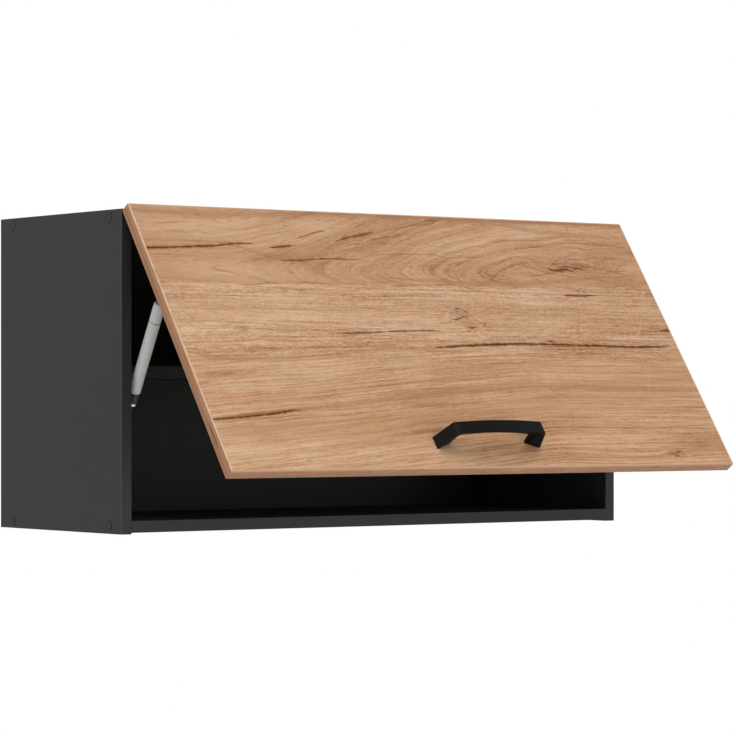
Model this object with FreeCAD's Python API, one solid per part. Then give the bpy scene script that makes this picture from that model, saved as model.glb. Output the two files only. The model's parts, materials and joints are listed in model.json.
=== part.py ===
import FreeCAD, Part
import math
import os

# A wall cabinet whose front is one wooden flap, hinged at the top and held up by two gas struts.
# Millimetres. +X to the right, +Y towards the wall, +Z up. Pieces are laid out about the middle of
# the wall face and saved with the origin midway between the two hanging holes.
# The flap is stored partly open, as the joints' rest position.

# Carcass boards
cabinet_width = 800.0
cabinet_height = 404.0
cabinet_depth = 300.0
board = 15.0
end_recess = 1.8
edge_band = 1.0
band_rounding = 0.6
back_board = 3.0
back_recess = 1.5
back_lap = 8.0

# Fits and cuts
fit_clearance = 0.05
seat_clearance = 0.3
cut_overrun = 2.0
same_direction_share = 0.01
same_place = 0.01

# Shelf and its pins
shelf_board = 16.0
shelf_setback = 78.0
shelf_end_clearance = 0.5
shelf_back_clearance = 1.0
pin_hole_radius = 2.5
pin_hole_depth = 10.0
pin_row_front = 115.0
pin_row_rear = 255.0
pin_pitch = 32.0
pin_steps = (-1, 0, 1)
pin_rest_length = 8.0
pin_rest_width = 7.0
pin_rest_height = 5.5
pin_rest_rounding = 2.0

# Screws that join the boards, and the caps that cover them
board_screw_inset = 30.0
board_screw_length = 50.0
board_screw_head_radius = 4.8
board_screw_head_length = 4.0
board_screw_neck_radius = 3.4
board_screw_thread_radius = 2.4
screw_cap_radius = 6.3
screw_cap_rise = 0.7
screw_cap_bevel = 0.4

# Back nails and hanging plates
nail_head_radius = 2.5
nail_head_height = 0.8
nail_radius = 0.8
nail_length = 16.0
nail_spacing = 120.0
plate_width = 56.0
plate_height = 50.0
plate_corner = 6.0
hanging_hole_radius = 5.0
hanging_well_radius = 13.0
hanging_screw_edge = 4.0
hanging_screw_length = 20.0
hanging_screw_radius = 1.5
hanging_head_radius = 3.0

# Flap
flap_side_clearance = 0.5
flap_foot_clearance = 4.0
flap_board = 16.0
flap_band = 2.5
flap_rounding = 2.0
flap_gap = 3.0
flap_rise = 2.0
rest_open_angle = 35.2
bumper_radius = 5.0
bumper_inset = 7.5
bumper_rise = 32.0
bumper_bevel = 1.0

# Handle: a solid bow that narrows from its front to a ridge on the side of the flap
handle_length = 164.0
handle_hole_spacing = 128.0
handle_rise = 29.3
handle_height = 17.4
handle_reach = 33.0
handle_bow = 4.3
handle_lean = 12.3
handle_foot = 21.5
handle_inner_lean = 4.5
handle_bar_depth = 13.0
handle_lip = 1.5
handle_ridge = 3.0
handle_outer_rounding = 2.0
handle_inner_rounding = 6.0
handle_screw_radius = 2.0
handle_screw_grip = 9.0
handle_head_radius = 4.0
handle_head_height = 2.2

# Hinges: a cup let into the flap, a pin, a cranked arm and its plate under the top board
hinge_inset = 90.0
pivot_drop = 7.1
pivot_depth = 5.5
cup_radius = 17.5
cup_edge = 3.0
cup_depth = 11.5
cup_wall = 1.0
flange_width = 62.0
flange_height = 25.0
flange_thickness = 1.2
flange_corner = 8.0
cup_screw_spacing = 48.0
cup_screw_drop = 5.5
small_screw_radius = 1.7
small_head_radius = 3.6
small_head_height = 1.8
small_screw_length = 11.0
hinge_pin_radius = 1.25
knuckle_radius = 2.1
knuckle_width = 9.0
neck_thickness = 2.4
neck_bend = 5.0
arm_front = 12.0
arm_length = 56.0
arm_wall = 1.8
rail_width = 12.0
rail_height = 7.0
rail_front = 18.0
rail_length = 46.0
wing_front = 30.0
wing_length = 15.0
wing_width = 50.0
wing_thickness = 2.2
wing_corner = 6.0
wing_screw_spacing = 32.0
arm_screw_radius = 3.4
arm_screw_height = 2.0
arm_screw_shares = (0.32, 0.76)

# Gas struts
strut_inset = 28.0
upper_stud_drop = 112.0
upper_stud_stand = 12.0
lower_stud_setback = 64.8
lower_stud_height = 84.2
stud_radius = 4.0
eye_radius = 8.0
eye_width = 14.0
eye_reach = 20.0
eye_neck_radius = 5.0
cap_length = 25.5
tube_radius = 7.5
tube_bore = 6.5
tube_length = 98.5
tube_rim_rounding = 0.9
seam_chamfer = 0.6
cap_end_wall = 2.5
collar_radius = 7.2
collar_end_radius = 7.0
collar_length = 14.0
collar_plug_length = 10.0
ring_radius = 6.8
ring_end_radius = 5.6
ring_length = 6.0
rod_radius = 3.0
rod_inside = 77.0
foot_radius = 7.5
foot_neck_radius = 4.8
foot_neck_length = 9.0
lug_thickness = 2.5
lug_base_width = 34.0
lug_base_height = 30.0
lug_corner = 4.0
lug_screw_shares = (0.42, 0.80)
wall_plate_width = 24.0
wall_plate_height = 36.0
wall_plate_thickness = 2.5
wall_stud_radius = 5.5
wall_screw_share = 0.33

# Places worked out from the sizes
half_width = cabinet_width / 2
half_height = cabinet_height / 2
front = -cabinet_depth
inner_side = half_width - board
under_top = half_height - end_recess - board
over_bottom = -half_height + end_recess + board
back_face = -back_recess
back_front = back_face - back_board
back_half_width = inner_side + back_lap
back_half_height = under_top + back_lap
shelf_front = front + shelf_setback
shelf_half_width = inner_side - shelf_end_clearance
shelf_bottom = -board / 2

flap_back = front - flap_gap
flap_front = flap_back - flap_board
flap_top = half_height + flap_rise
flap_bottom = -half_height + flap_foot_clearance
flap_half = half_width - flap_side_clearance
handle_bottom = flap_bottom + handle_rise
handle_top = handle_bottom + handle_height
handle_level = handle_bottom + handle_height / 2
pivot_y = flap_back - pivot_depth
pivot_z = flap_top - pivot_drop
hinge_x = half_width - hinge_inset
cup_z = flap_top - cup_edge - cup_radius

strut_x = half_width - strut_inset
upper_stud_y = flap_back + upper_stud_stand
upper_stud_z = flap_top - upper_stud_drop
lower_stud_y = front + lower_stud_setback
lower_stud_z = -half_height + lower_stud_height


def box(x0, x1, y0, y1, z0, z1):
    return Part.makeBox(x1 - x0, y1 - y0, z1 - z0, FreeCAD.Vector(x0, y0, z0))


def bar(radius, start, end):
    # A round bar between two points.
    start = FreeCAD.Vector(*start)
    along = FreeCAD.Vector(*end) - start
    return Part.makeCylinder(radius, along.Length, start, along)


def turned(profile):
    # A round piece about the Z axis from (radius, distance below the origin) points.
    points = [FreeCAD.Vector(radius, 0, -distance) for radius, distance in profile]
    face = Part.Face(Part.makePolygon(points + points[:1]))
    return face.revolve(FreeCAD.Vector(), FreeCAD.Vector(0, 0, 1), 360)


def rounded(solid, radius, chosen):
    # Rounds the edges whose middle passes the test.
    edges = [edge for edge in solid.Edges if chosen(edge.CenterOfMass, edge)]
    return solid.makeFillet(radius, edges)


def runs_along(edge, direction):
    straight = edge.Curve.TypeId == "Part::GeomLine"
    return straight and edge.tangentAt(edge.FirstParameter).cross(direction).Length < same_direction_share


def mirrored(solid):
    return solid.mirror(FreeCAD.Vector(), FreeCAD.Vector(1, 0, 0))


def both_sides(solids):
    return solids + [mirrored(solid) for solid in solids]


def opened(shape):
    # Turns a piece of the closed flap to the rest position.
    return shape.rotated(FreeCAD.Vector(0, pivot_y, pivot_z), FreeCAD.Vector(-1, 0, 0), rest_open_angle)


def save(name, *solids):
    # Writes one piece, or a group of like ones, with the hanging holes' line as the origin.
    x, level = hanging_hole_place()
    placed = [solid.translated(FreeCAD.Vector(0, 0, -level)) for solid in solids]
    shape = placed[0] if len(placed) == 1 else Part.makeCompound(placed)
    shape.exportStep("parts/" + name + ".step")


def save_pair(name, solid):
    save(name + "_left", solid)
    save(name + "_right", mirrored(solid))


def pan_screw(head_radius, head_height, radius, length):
    # A screw along -Z, its bevelled head standing on the plane z = 0.
    bevel = head_height / 2
    return turned([(0, -head_height), (head_radius - bevel, -head_height), (head_radius, -bevel),
                   (head_radius, 0), (radius, 0), (radius, length), (0, length)])


def small_screw():
    return pan_screw(small_head_radius, small_head_height, small_screw_radius, small_screw_length)


def pointing(solid, direction, place):
    # Turns a piece made along +Z to another direction and moves it to its place.
    turn = FreeCAD.Rotation(FreeCAD.Vector(0, 0, 1), FreeCAD.Vector(*direction))
    moved = solid.copy()
    moved.Placement = FreeCAD.Placement(FreeCAD.Vector(*place), turn)
    return moved


def pin_places():
    # Shelf pin holes of one side: (y, z) of each, the shelf's own pair in the middle.
    level = shelf_bottom - pin_rest_height / 2
    rows = (front + pin_row_front, front + pin_row_rear)
    return [(y, level + step * pin_pitch) for y in rows for step in pin_steps]


def board_screw_places():
    # Screws of one side: (y, z) in the middle of the top and bottom boards.
    depths = (front + board_screw_inset, -board_screw_inset)
    levels = (under_top + board / 2, over_bottom - board / 2)
    return [(y, z) for y in depths for z in levels]


def board_screw(y, z, grow):
    # Screw along +X from its sunk head at the left side's outer face.
    head_end = -half_width + board_screw_head_length
    head = bar(board_screw_head_radius + grow, (-half_width, y, z), (head_end, y, z))
    neck = bar(board_screw_neck_radius + grow, (head_end, y, z), (-inner_side, y, z))
    tip = -half_width + board_screw_length + grow
    thread = bar(board_screw_thread_radius + grow, (-inner_side, y, z), (tip, y, z))
    return head.fuse([neck, thread]).removeSplitter()


def back_rebate():
    return box(-back_half_width, back_half_width, back_front, cut_overrun,
               -back_half_height, back_half_height)


def nail_places():
    # Nails round the back: (x, z) of each, clear of the hanging plates.
    along = range(-int(inner_side / nail_spacing), int(inner_side / nail_spacing) + 1)
    bottom = [(step * nail_spacing, -under_top - back_lap / 2) for step in along]
    top = [(x, -z) for x, z in bottom if abs(x) < inner_side - plate_width - nail_spacing / 2]
    side = inner_side + back_lap / 2
    upright = [(x, z) for x in (-side, side) for z in (-under_top / 2, 0)]
    return bottom + top + upright


def nail(x, z, grow):
    head = bar(nail_head_radius, (x, back_face, z), (x, back_face + nail_head_height, z))
    shank = bar(nail_radius + grow, (x, back_face, z), (x, back_face - nail_length - grow, z))
    return head.fuse(shank).removeSplitter()


def hanging_plate_corner():
    # Outer top corner of the right hanging plate.
    return back_half_width - seat_clearance, back_half_height - seat_clearance


def hanging_hole_place():
    x, z = hanging_plate_corner()
    return x - plate_width / 2, z - plate_height / 2


def hanging_screw_places():
    # Two screws into the top board's back edge and one into the side board's.
    x, z = hanging_plate_corner()
    edge = hanging_screw_edge
    into_top = [(x - plate_width + plate_corner, z - edge), (x - plate_width / 2, z - edge)]
    return into_top + [(x - edge, z - plate_height / 2)]


def hanging_screw(x, z, grow):
    # A thin head that sits flush in the plate, and its shank.
    head = bar(hanging_head_radius + grow, (x, 0, z), (x, -back_recess / 2, z))
    shank = bar(hanging_screw_radius + grow, (x, 0, z), (x, -hanging_screw_length - grow, z))
    return head.fuse(shank).removeSplitter()


def wall_screw_places():
    # Screws of the left strut's wall plate: (y, z).
    reach = wall_plate_height * wall_screw_share
    return [(lower_stud_y, lower_stud_z + reach), (lower_stud_y, lower_stud_z - reach)]


def wall_screw(y, z):
    return pointing(small_screw(), (1, 0, 0), (-inner_side + wall_plate_thickness, y, z))


def screw_hole(start, end):
    return bar(small_screw_radius + fit_clearance, start, end)


def side_panel():
    # Left side board with its rebate, shelf pin holes and screw holes.
    solid = box(-half_width, -inner_side, front + edge_band, 0, -half_height, half_height)
    cuts = [back_rebate()]
    for y, z in pin_places():
        bottom = (-inner_side - pin_hole_depth, y, z)
        cuts.append(bar(pin_hole_radius, bottom, (-inner_side + cut_overrun, y, z)))
    for y, z in board_screw_places():
        cuts.append(board_screw(y, z, fit_clearance))
    depth = small_screw_length - wall_plate_thickness + fit_clearance
    for y, z in wall_screw_places():
        cuts.append(screw_hole((-inner_side - depth, y, z), (-inner_side + cut_overrun, y, z)))
    cuts += [nail(x, z, fit_clearance) for x, z in nail_places() if x < -inner_side]
    x, z = hanging_screw_places()[-1]
    cuts.append(hanging_screw(-x, z, fit_clearance))
    return solid.cut(cuts)


def wing_screw_places():
    # Screws of the left hinge's plate: (x, y).
    y = front + wing_front + wing_length / 2
    return [(-hinge_x + side * wing_screw_spacing / 2, y) for side in (-1, 1)]


def cross_panel(low, is_top):
    # Top or bottom board between the sides.
    solid = box(-inner_side, inner_side, front + edge_band, 0, low, low + board)
    screws = [board_screw(y, z, fit_clearance) for y, z in board_screw_places() if low < z < low + board]
    cuts = [back_rebate()] + both_sides(screws)
    cuts += [nail(x, z, fit_clearance) for x, z in nail_places() if low < z < low + board]
    if is_top:
        cuts += both_sides([hanging_screw(x, z, fit_clearance) for x, z in hanging_screw_places()[:2]])
        depth = small_screw_length - wing_thickness + fit_clearance
        places = wing_screw_places()
        cuts += both_sides([screw_hole((x, y, low - cut_overrun), (x, y, low + depth)) for x, y in places])
    return solid.cut(cuts)


def back_panel():
    # Hardboard back with a well behind each hanging hole and the nails' and screws' holes.
    solid = box(-back_half_width, back_half_width, back_front, back_face,
                -back_half_height, back_half_height)
    x, z = hanging_hole_place()
    right = [bar(hanging_well_radius, (x, back_front - cut_overrun, z), (x, cut_overrun, z))]
    right += [hanging_screw(x, z, fit_clearance) for x, z in hanging_screw_places()]
    return solid.cut(both_sides(right) + [nail(x, z, fit_clearance) for x, z in nail_places()])


def shelf():
    rear = back_front - shelf_back_clearance
    return box(-shelf_half_width, shelf_half_width, shelf_front + edge_band, rear,
               shelf_bottom, shelf_bottom + shelf_board)


def band_strip(x0, x1, z0, z1, y):
    # Edging strip with its two long front edges eased.
    solid = box(x0, x1, y, y + edge_band, z0, z1)
    lies_flat = x1 - x0 > z1 - z0
    along = FreeCAD.Vector(1, 0, 0) if lies_flat else FreeCAD.Vector(0, 0, 1)
    rim = y + edge_band / 2
    return rounded(solid, band_rounding, lambda middle, edge: middle.y < rim and runs_along(edge, along))


def carcass_edge_bands():
    left = band_strip(-half_width, -inner_side, -half_height, half_height, front)
    top = band_strip(-inner_side, inner_side, under_top, under_top + board, front)
    bottom = band_strip(-inner_side, inner_side, over_bottom - board, over_bottom, front)
    shelf_top = shelf_bottom + shelf_board
    middle = band_strip(-shelf_half_width, shelf_half_width, shelf_bottom, shelf_top, shelf_front)
    return both_sides([left]) + [top, bottom, middle]


def shelf_pin(y):
    # Round dowel in the side board with a flat-topped rest under the shelf.
    z = shelf_bottom - pin_rest_height / 2
    dowel_end = -inner_side - pin_hole_depth + seat_clearance
    dowel = bar(pin_hole_radius - fit_clearance, (dowel_end, y, z), (-inner_side, y, z))
    rest = box(-inner_side, -inner_side + pin_rest_length, y - pin_rest_width / 2, y + pin_rest_width / 2,
               shelf_bottom - pin_rest_height, shelf_bottom)
    along = FreeCAD.Vector(1, 0, 0)
    rest = rounded(rest, pin_rest_rounding, lambda middle, edge: middle.z < z and runs_along(edge, along))
    return dowel.fuse(rest)


def screw_cap(y, z):
    # Thin disc with a bevelled rim over a screw head in the left side board.
    inner = screw_cap_radius - screw_cap_bevel
    cap = turned([(0, 0), (screw_cap_radius, 0), (screw_cap_radius, screw_cap_bevel - screw_cap_rise),
                  (inner, -screw_cap_rise), (0, -screw_cap_rise)])
    return pointing(cap, (-1, 0, 0), (-half_width, y, z))


def hanging_plate():
    # Right steel plate behind the back, with the hole for the wall hook.
    x, z = hanging_plate_corner()
    solid = box(x - plate_width, x, back_face, 0, z - plate_height, z)
    along = FreeCAD.Vector(0, 1, 0)
    solid = rounded(solid, plate_corner, lambda middle, edge: runs_along(edge, along))
    hole_x, hole_z = hanging_hole_place()
    hole = bar(hanging_hole_radius, (hole_x, -cut_overrun, hole_z), (hole_x, cut_overrun, hole_z))
    return solid.cut([hole] + [hanging_screw(x, z, fit_clearance) for x, z in hanging_screw_places()])


def cup_screw_places():
    # Screws of the left cup: (x, z) on the closed flap.
    return [(-hinge_x + side * cup_screw_spacing / 2, cup_z - cup_screw_drop) for side in (-1, 1)]


def cup_screw(x, z):
    return pointing(small_screw(), (0, 1, 0), (x, flap_back + flange_thickness, z))


def lug_screw_places():
    # Screws of the left strut's flap bracket: (x, z) on the closed flap.
    lug_face = -strut_x + eye_width / 2 + seat_clearance
    return [(lug_face + lug_base_width * share, upper_stud_z) for share in lug_screw_shares]


def lug_screw(x, z):
    return pointing(small_screw(), (0, 1, 0), (x, flap_back + lug_thickness, z))


def handle_screw(side):
    x = side * handle_hole_spacing / 2
    length = flap_board + handle_screw_grip
    screw = pan_screw(handle_head_radius, handle_head_height, handle_screw_radius, length)
    return pointing(screw, (0, 1, 0), (x, flap_back, handle_level))


def flap_block():
    # The whole closed flap with every outer edge eased.
    solid = box(-flap_half, flap_half, flap_front, flap_back, flap_bottom, flap_top)
    return solid.makeFillet(flap_rounding, solid.Edges)


def flap_core():
    return box(-flap_half + flap_band, flap_half - flap_band, flap_front, flap_back,
               flap_bottom + flap_band, flap_top - flap_band)


def flap_panel():
    # Board with the hinge cups' wells and the screws' holes bored from behind.
    mouth = flap_back + cut_overrun
    left = [bar(cup_radius, (-hinge_x, flap_back - cup_depth, cup_z), (-hinge_x, mouth, cup_z))]
    depth = small_screw_length + fit_clearance
    for x, z in cup_screw_places():
        left.append(screw_hole((x, flap_back + flange_thickness - depth, z), (x, mouth, z)))
    for x, z in lug_screw_places():
        left.append(screw_hole((x, flap_back + lug_thickness - depth, z), (x, mouth, z)))
    x = -handle_hole_spacing / 2
    z = handle_level
    left.append(bar(handle_screw_radius + fit_clearance, (x, flap_front - cut_overrun, z), (x, mouth, z)))
    return flap_block().common(flap_core()).cut(both_sides(left))


def flap_edge_bands():
    # Four strips round the board: the upright ones run the full height.
    inner_x = flap_half - flap_band
    outer_x = flap_half + cut_overrun
    y0, y1 = flap_front - cut_overrun, flap_back + cut_overrun
    upright = (flap_bottom - cut_overrun, flap_top + cut_overrun)
    pieces = [box(-outer_x, -inner_x, y0, y1, *upright), box(inner_x, outer_x, y0, y1, *upright)]
    pieces.append(box(-inner_x, inner_x, y0, y1, flap_top - flap_band, flap_top + cut_overrun))
    pieces.append(box(-inner_x, inner_x, y0, y1, flap_bottom - cut_overrun, flap_bottom + flap_band))
    block = flap_block()
    return [block.common(piece) for piece in pieces]


def bumper():
    # Soft dot on the back of the flap, in front of the left side board's edge.
    height = flap_gap - seat_clearance
    dot = turned([(0, 0), (bumper_radius, 0), (bumper_radius, bumper_bevel - height),
                  (bumper_radius - bumper_bevel, -height), (0, -height)])
    return pointing(dot, (0, 1, 0), (-half_width + bumper_inset, flap_back, flap_bottom + bumper_rise))


def handle_outline(foot, lean, depth, level):
    # The bow seen from above at one level. Its outer side is the same at each, the inner one moves.
    half = handle_length / 2
    outer = half - handle_lean
    inner_foot = half - foot
    inner = inner_foot - lean
    gap = handle_reach - depth

    def above(x, out):
        return FreeCAD.Vector(x, flap_front - out, level)

    edges = [
        Part.LineSegment(above(-half, 0), above(-outer, handle_reach)),
        Part.Arc(above(-outer, handle_reach), above(0, handle_reach + handle_bow), above(outer, handle_reach)),
        Part.LineSegment(above(outer, handle_reach), above(half, 0)),
        Part.LineSegment(above(half, 0), above(inner_foot, 0)),
        Part.LineSegment(above(inner_foot, 0), above(inner, gap)),
        Part.Arc(above(inner, gap), above(0, gap + handle_bow), above(-inner, gap)),
        Part.LineSegment(above(-inner, gap), above(-inner_foot, 0)),
        Part.LineSegment(above(-inner_foot, 0), above(-half, 0)),
    ]
    upright = FreeCAD.Vector(0, 0, 1)
    slab = Part.Face(Part.Wire([edge.toShape() for edge in edges])).extrude(upright)
    for out, radius in ((gap, handle_inner_rounding), (handle_reach, handle_outer_rounding)):
        corner = flap_front - out
        slab = rounded(slab, radius, lambda middle, edge: runs_along(edge, upright) and
                       abs(middle.y - corner) < same_place)
    return min(slab.Faces, key=lambda face: face.CenterOfMass.z).OuterWire


def handle():
    # Thin lips at the top and bottom, drawn together to the ridge at mid height.
    def lip(level):
        return handle_outline(handle_lip, handle_lean, handle_lip, level)

    def ridge(level):
        return handle_outline(handle_foot, handle_inner_lean, handle_bar_depth, level)

    levels = (handle_level - handle_ridge / 2, handle_level + handle_ridge / 2)
    outlines = [lip(handle_bottom), ridge(levels[0]), ridge(levels[1]), lip(handle_top)]
    solid = Part.makeLoft(outlines, True, True).removeSplitter()
    x = handle_hole_spacing / 2
    z = handle_level
    holes = [bar(handle_screw_radius + fit_clearance, (side * x, flap_front + cut_overrun, z),
                 (side * x, flap_front - handle_screw_grip - fit_clearance, z)) for side in (-1, 1)]
    return solid.cut(holes)


def across_cup(radius):
    # Round bar on the flap's turning axis, as long as the left cup is wide.
    ends = (-hinge_x - cup_radius, -hinge_x + cup_radius)
    return bar(radius, (ends[0], pivot_y, pivot_z), (ends[1], pivot_y, pivot_z))


def hinge_cup():
    # Left cup with its screw flange, and the pin's holes through its wall.
    outer = cup_radius - fit_clearance
    bottom = flap_back - cup_depth + fit_clearance
    shell = bar(outer, (-hinge_x, bottom, cup_z), (-hinge_x, flap_back, cup_z))
    half = flange_width / 2
    low = cup_z - flange_height / 2 - cup_screw_drop / 2
    flange = box(-hinge_x - half, -hinge_x + half, flap_back, flap_back + flange_thickness,
                 low, low + flange_height)
    along = FreeCAD.Vector(0, 1, 0)
    flange = rounded(flange, flange_corner, lambda middle, edge: runs_along(edge, along))
    hollow = bar(outer - cup_wall, (-hinge_x, flap_back - cup_depth + cup_wall, cup_z),
                 (-hinge_x, flap_back + cut_overrun, cup_z))
    ends = (flap_back - cut_overrun, flap_back + cut_overrun)
    holes = [screw_hole((x, ends[0], z), (x, ends[1], z)) for x, z in cup_screw_places()]
    return shell.fuse(flange).cut([hollow, across_cup(hinge_pin_radius + fit_clearance)] + holes)


def hinge_pin():
    # Pin across the left cup, dressed flush with the cup's outside.
    cup = bar(cup_radius - fit_clearance, (-hinge_x, flap_front, cup_z), (-hinge_x, flap_back, cup_z))
    return across_cup(hinge_pin_radius).common(cup)


def arm_floor():
    # Level of the channel's floor: its upper face, against the rail.
    return under_top - rail_height - fit_clearance


def hinge_arm():
    # A channel under the plate's rail whose tongue bends up into the cup and wraps the pin.
    floor = arm_floor()
    middle = floor - neck_thickness / 2
    half = neck_thickness / 2
    start = front + arm_front

    def side(y, z):
        return FreeCAD.Vector(-hinge_x - knuckle_width / 2, y, z)

    def quarter(radius):
        # Bend between tongue and neck at a given distance from its centre.
        centre_y = pivot_y + neck_bend
        centre_z = middle + neck_bend
        shift = radius * math.sqrt(0.5)
        return Part.Arc(side(centre_y, centre_z - radius), side(centre_y - shift, centre_z - shift),
                        side(centre_y - radius, centre_z))

    outer, inner = quarter(neck_bend + half), quarter(neck_bend - half)
    lower = [side(start, middle - half), outer.StartPoint]
    front_side = [outer.EndPoint, side(pivot_y - half, pivot_z)]
    rear_side = [side(pivot_y + half, pivot_z), inner.EndPoint]
    upper = [inner.StartPoint, side(start, middle + half)]
    lines = [lower, front_side, [front_side[1], rear_side[0]], rear_side, upper, [upper[1], lower[0]]]
    edges = [Part.LineSegment(a, b).toShape() for a, b in lines] + [outer.toShape(), inner.toShape()]
    neck = Part.Face(Part.Wire(Part.__sortEdges__(edges))).extrude(FreeCAD.Vector(knuckle_width, 0, 0))
    left, right = -hinge_x - knuckle_width / 2, -hinge_x + knuckle_width / 2
    knuckle = bar(knuckle_radius, (left, pivot_y, pivot_z), (right, pivot_y, pivot_z))
    inside = rail_width / 2 + seat_clearance
    outside = inside + arm_wall
    end = start + arm_length
    channel = box(-hinge_x - outside, -hinge_x + outside, start, end,
                  floor - neck_thickness, under_top - wing_thickness - seat_clearance)
    upright = FreeCAD.Vector(0, 0, 1)
    channel = rounded(channel, outside - knuckle_width / 2 - arm_wall,
                      lambda middle, edge: runs_along(edge, upright) and middle.y < end - outside)
    trough = box(-hinge_x - inside, -hinge_x + inside, start + arm_wall, end + cut_overrun, floor, under_top)
    hole = across_cup(hinge_pin_radius + fit_clearance)
    return channel.cut(trough).fuse([neck, knuckle]).cut(hole).removeSplitter()


def hinge_plate():
    # Rail that carries the arm, with two screw wings under the top board.
    start = front + rail_front
    rail = box(-hinge_x - rail_width / 2, -hinge_x + rail_width / 2, start, start + rail_length,
               under_top - rail_height, under_top)
    start = front + wing_front
    wing = box(-hinge_x - wing_width / 2, -hinge_x + wing_width / 2, start, start + wing_length,
               under_top - wing_thickness, under_top)
    upright = FreeCAD.Vector(0, 0, 1)
    wing = rounded(wing, wing_corner, lambda middle, edge: runs_along(edge, upright))
    ends = (under_top - rail_height, under_top + cut_overrun)
    holes = [screw_hole((x, y, ends[0]), (x, y, ends[1])) for x, y in wing_screw_places()]
    return rail.fuse(wing).removeSplitter().cut(holes)


def wing_screw(x, y):
    return pointing(small_screw(), (0, 0, -1), (x, y, under_top - wing_thickness))


def arm_screw(share):
    # Slotted adjusting screw head on the channel's underside.
    y = front + arm_front + arm_length * share
    z = arm_floor() - neck_thickness
    head = bar(arm_screw_radius, (-hinge_x, y, z), (-hinge_x, y, z - arm_screw_height))
    slot = arm_screw_height / 2
    return head.cut(box(-hinge_x - slot / 2, -hinge_x + slot / 2, y - arm_screw_radius, y + arm_screw_radius,
                        z - arm_screw_height - cut_overrun, z - arm_screw_height + slot))


def flap_bracket():
    # Left bracket on the back of the flap: screwed base, upright lug and the strut's stud.
    face = -strut_x + eye_width / 2 + seat_clearance
    half = lug_base_height / 2
    base = box(face, face + lug_base_width, flap_back, flap_back + lug_thickness,
               upper_stud_z - half, upper_stud_z + half)
    along = FreeCAD.Vector(0, 1, 0)
    rim = face + lug_corner
    base = rounded(base, lug_corner, lambda middle, edge: runs_along(edge, along) and middle.x > rim)
    lug = box(face, face + lug_thickness, flap_back, upper_stud_y,
              upper_stud_z - eye_radius, upper_stud_z + eye_radius)
    tip = -strut_x - eye_width / 2

    def across(radius, x0, x1):
        return bar(radius, (x0, upper_stud_y, upper_stud_z), (x1, upper_stud_y, upper_stud_z))

    head = across(eye_radius, face, face + lug_thickness)
    stud = across(stud_radius, tip, face)
    holes = [screw_hole((x, flap_back - cut_overrun, z), (x, flap_back + lug_thickness + cut_overrun, z))
             for x, z in lug_screw_places()]
    return base.fuse([lug, head, stud]).removeSplitter().cut(holes)


def wall_bracket():
    # Left plate on the side board with the short stud beside the strut's foot.
    half = wall_plate_width / 2
    reach = wall_plate_height / 2
    plate = box(-inner_side, -inner_side + wall_plate_thickness, lower_stud_y - half, lower_stud_y + half,
                lower_stud_z - reach, lower_stud_z + reach)
    across = FreeCAD.Vector(1, 0, 0)
    plate = rounded(plate, half - seat_clearance, lambda middle, edge: runs_along(edge, across))
    start = (-inner_side, lower_stud_y, lower_stud_z)
    end = -strut_x - eye_width / 2 - seat_clearance
    stud = bar(wall_stud_radius, start, (end, lower_stud_y, lower_stud_z))
    ends = (-inner_side - cut_overrun, -inner_side + wall_plate_thickness + cut_overrun)
    holes = [screw_hole((ends[0], y, z), (ends[1], y, z)) for y, z in wall_screw_places()]
    return plate.fuse(stud).removeSplitter().cut(holes)


def strut_span():
    # Upper stud's place, the strut's length between studs and its lean from upright.
    stud = opened(Part.Vertex(0, upper_stud_y, upper_stud_z)).Point
    y, z = stud.y, stud.z
    length = math.hypot(lower_stud_y - y, lower_stud_z - z)
    lean = math.degrees(math.atan2(lower_stud_y - y, z - lower_stud_z))
    return y, z, length, lean


def on_strut(solid):
    # Moves a piece made below the origin onto the left strut's line.
    y, z, length, lean = strut_span()
    moved = solid.copy()
    turn = FreeCAD.Rotation(FreeCAD.Vector(1, 0, 0), lean)
    moved.Placement = FreeCAD.Placement(FreeCAD.Vector(-strut_x, y, z), turn)
    return moved


def strut_eye():
    half = eye_width / 2
    ring = bar(eye_radius, (-half, 0, 0), (half, 0, 0))
    neck = Part.makeCylinder(eye_neck_radius, eye_reach, FreeCAD.Vector(0, 0, -eye_reach))
    hole = bar(stud_radius + fit_clearance, (-half - cut_overrun, 0, 0), (half + cut_overrun, 0, 0))
    return ring.fuse(neck).removeSplitter().cut(hole)


def strut_cap():
    # Closed upper end of the tube.
    end = eye_reach + cap_length
    floor = eye_reach + cap_end_wall
    rim = tube_radius - tube_rim_rounding
    return turned([(0, eye_reach), (rim, eye_reach), (tube_radius, eye_reach + tube_rim_rounding),
                   (tube_radius, end - seam_chamfer), (tube_radius - seam_chamfer, end),
                   (tube_bore, end), (tube_bore, floor), (0, floor)])


def tube_end():
    return eye_reach + cap_length + tube_length


def strut_tube():
    start = eye_reach + cap_length
    end = tube_end()
    tube = turned([(tube_bore, start), (tube_radius - seam_chamfer, start),
                   (tube_radius, start + seam_chamfer), (tube_radius, end), (tube_bore, end)])
    wall_middle = (tube_bore + tube_radius) / 2

    def at_outer_rim(middle, edge):
        return middle.z < -end + seam_chamfer and edge.Curve.Radius > wall_middle

    return rounded(tube, tube_rim_rounding, at_outer_rim)


def strut_collar():
    # Dark guide at the tube's mouth, plugged into its bore.
    end = tube_end()
    bore = rod_radius + fit_clearance
    plug = tube_bore - fit_clearance
    start = end - collar_plug_length
    tip = end + collar_length
    return turned([(bore, start), (plug, start), (plug, end), (collar_radius, end),
                   (collar_end_radius, tip), (bore, tip)])


def strut_ring():
    # Bright wiper ring below the collar, narrowing towards the rod.
    start = tube_end() + collar_length
    bore = rod_radius + fit_clearance
    return turned([(bore, start), (ring_radius, start), (ring_radius, start + ring_length / 2),
                   (ring_end_radius, start + ring_length), (bore, start + ring_length)])


def foot_neck_start():
    y, z, length, lean = strut_span()
    return length - foot_radius - foot_neck_length


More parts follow.
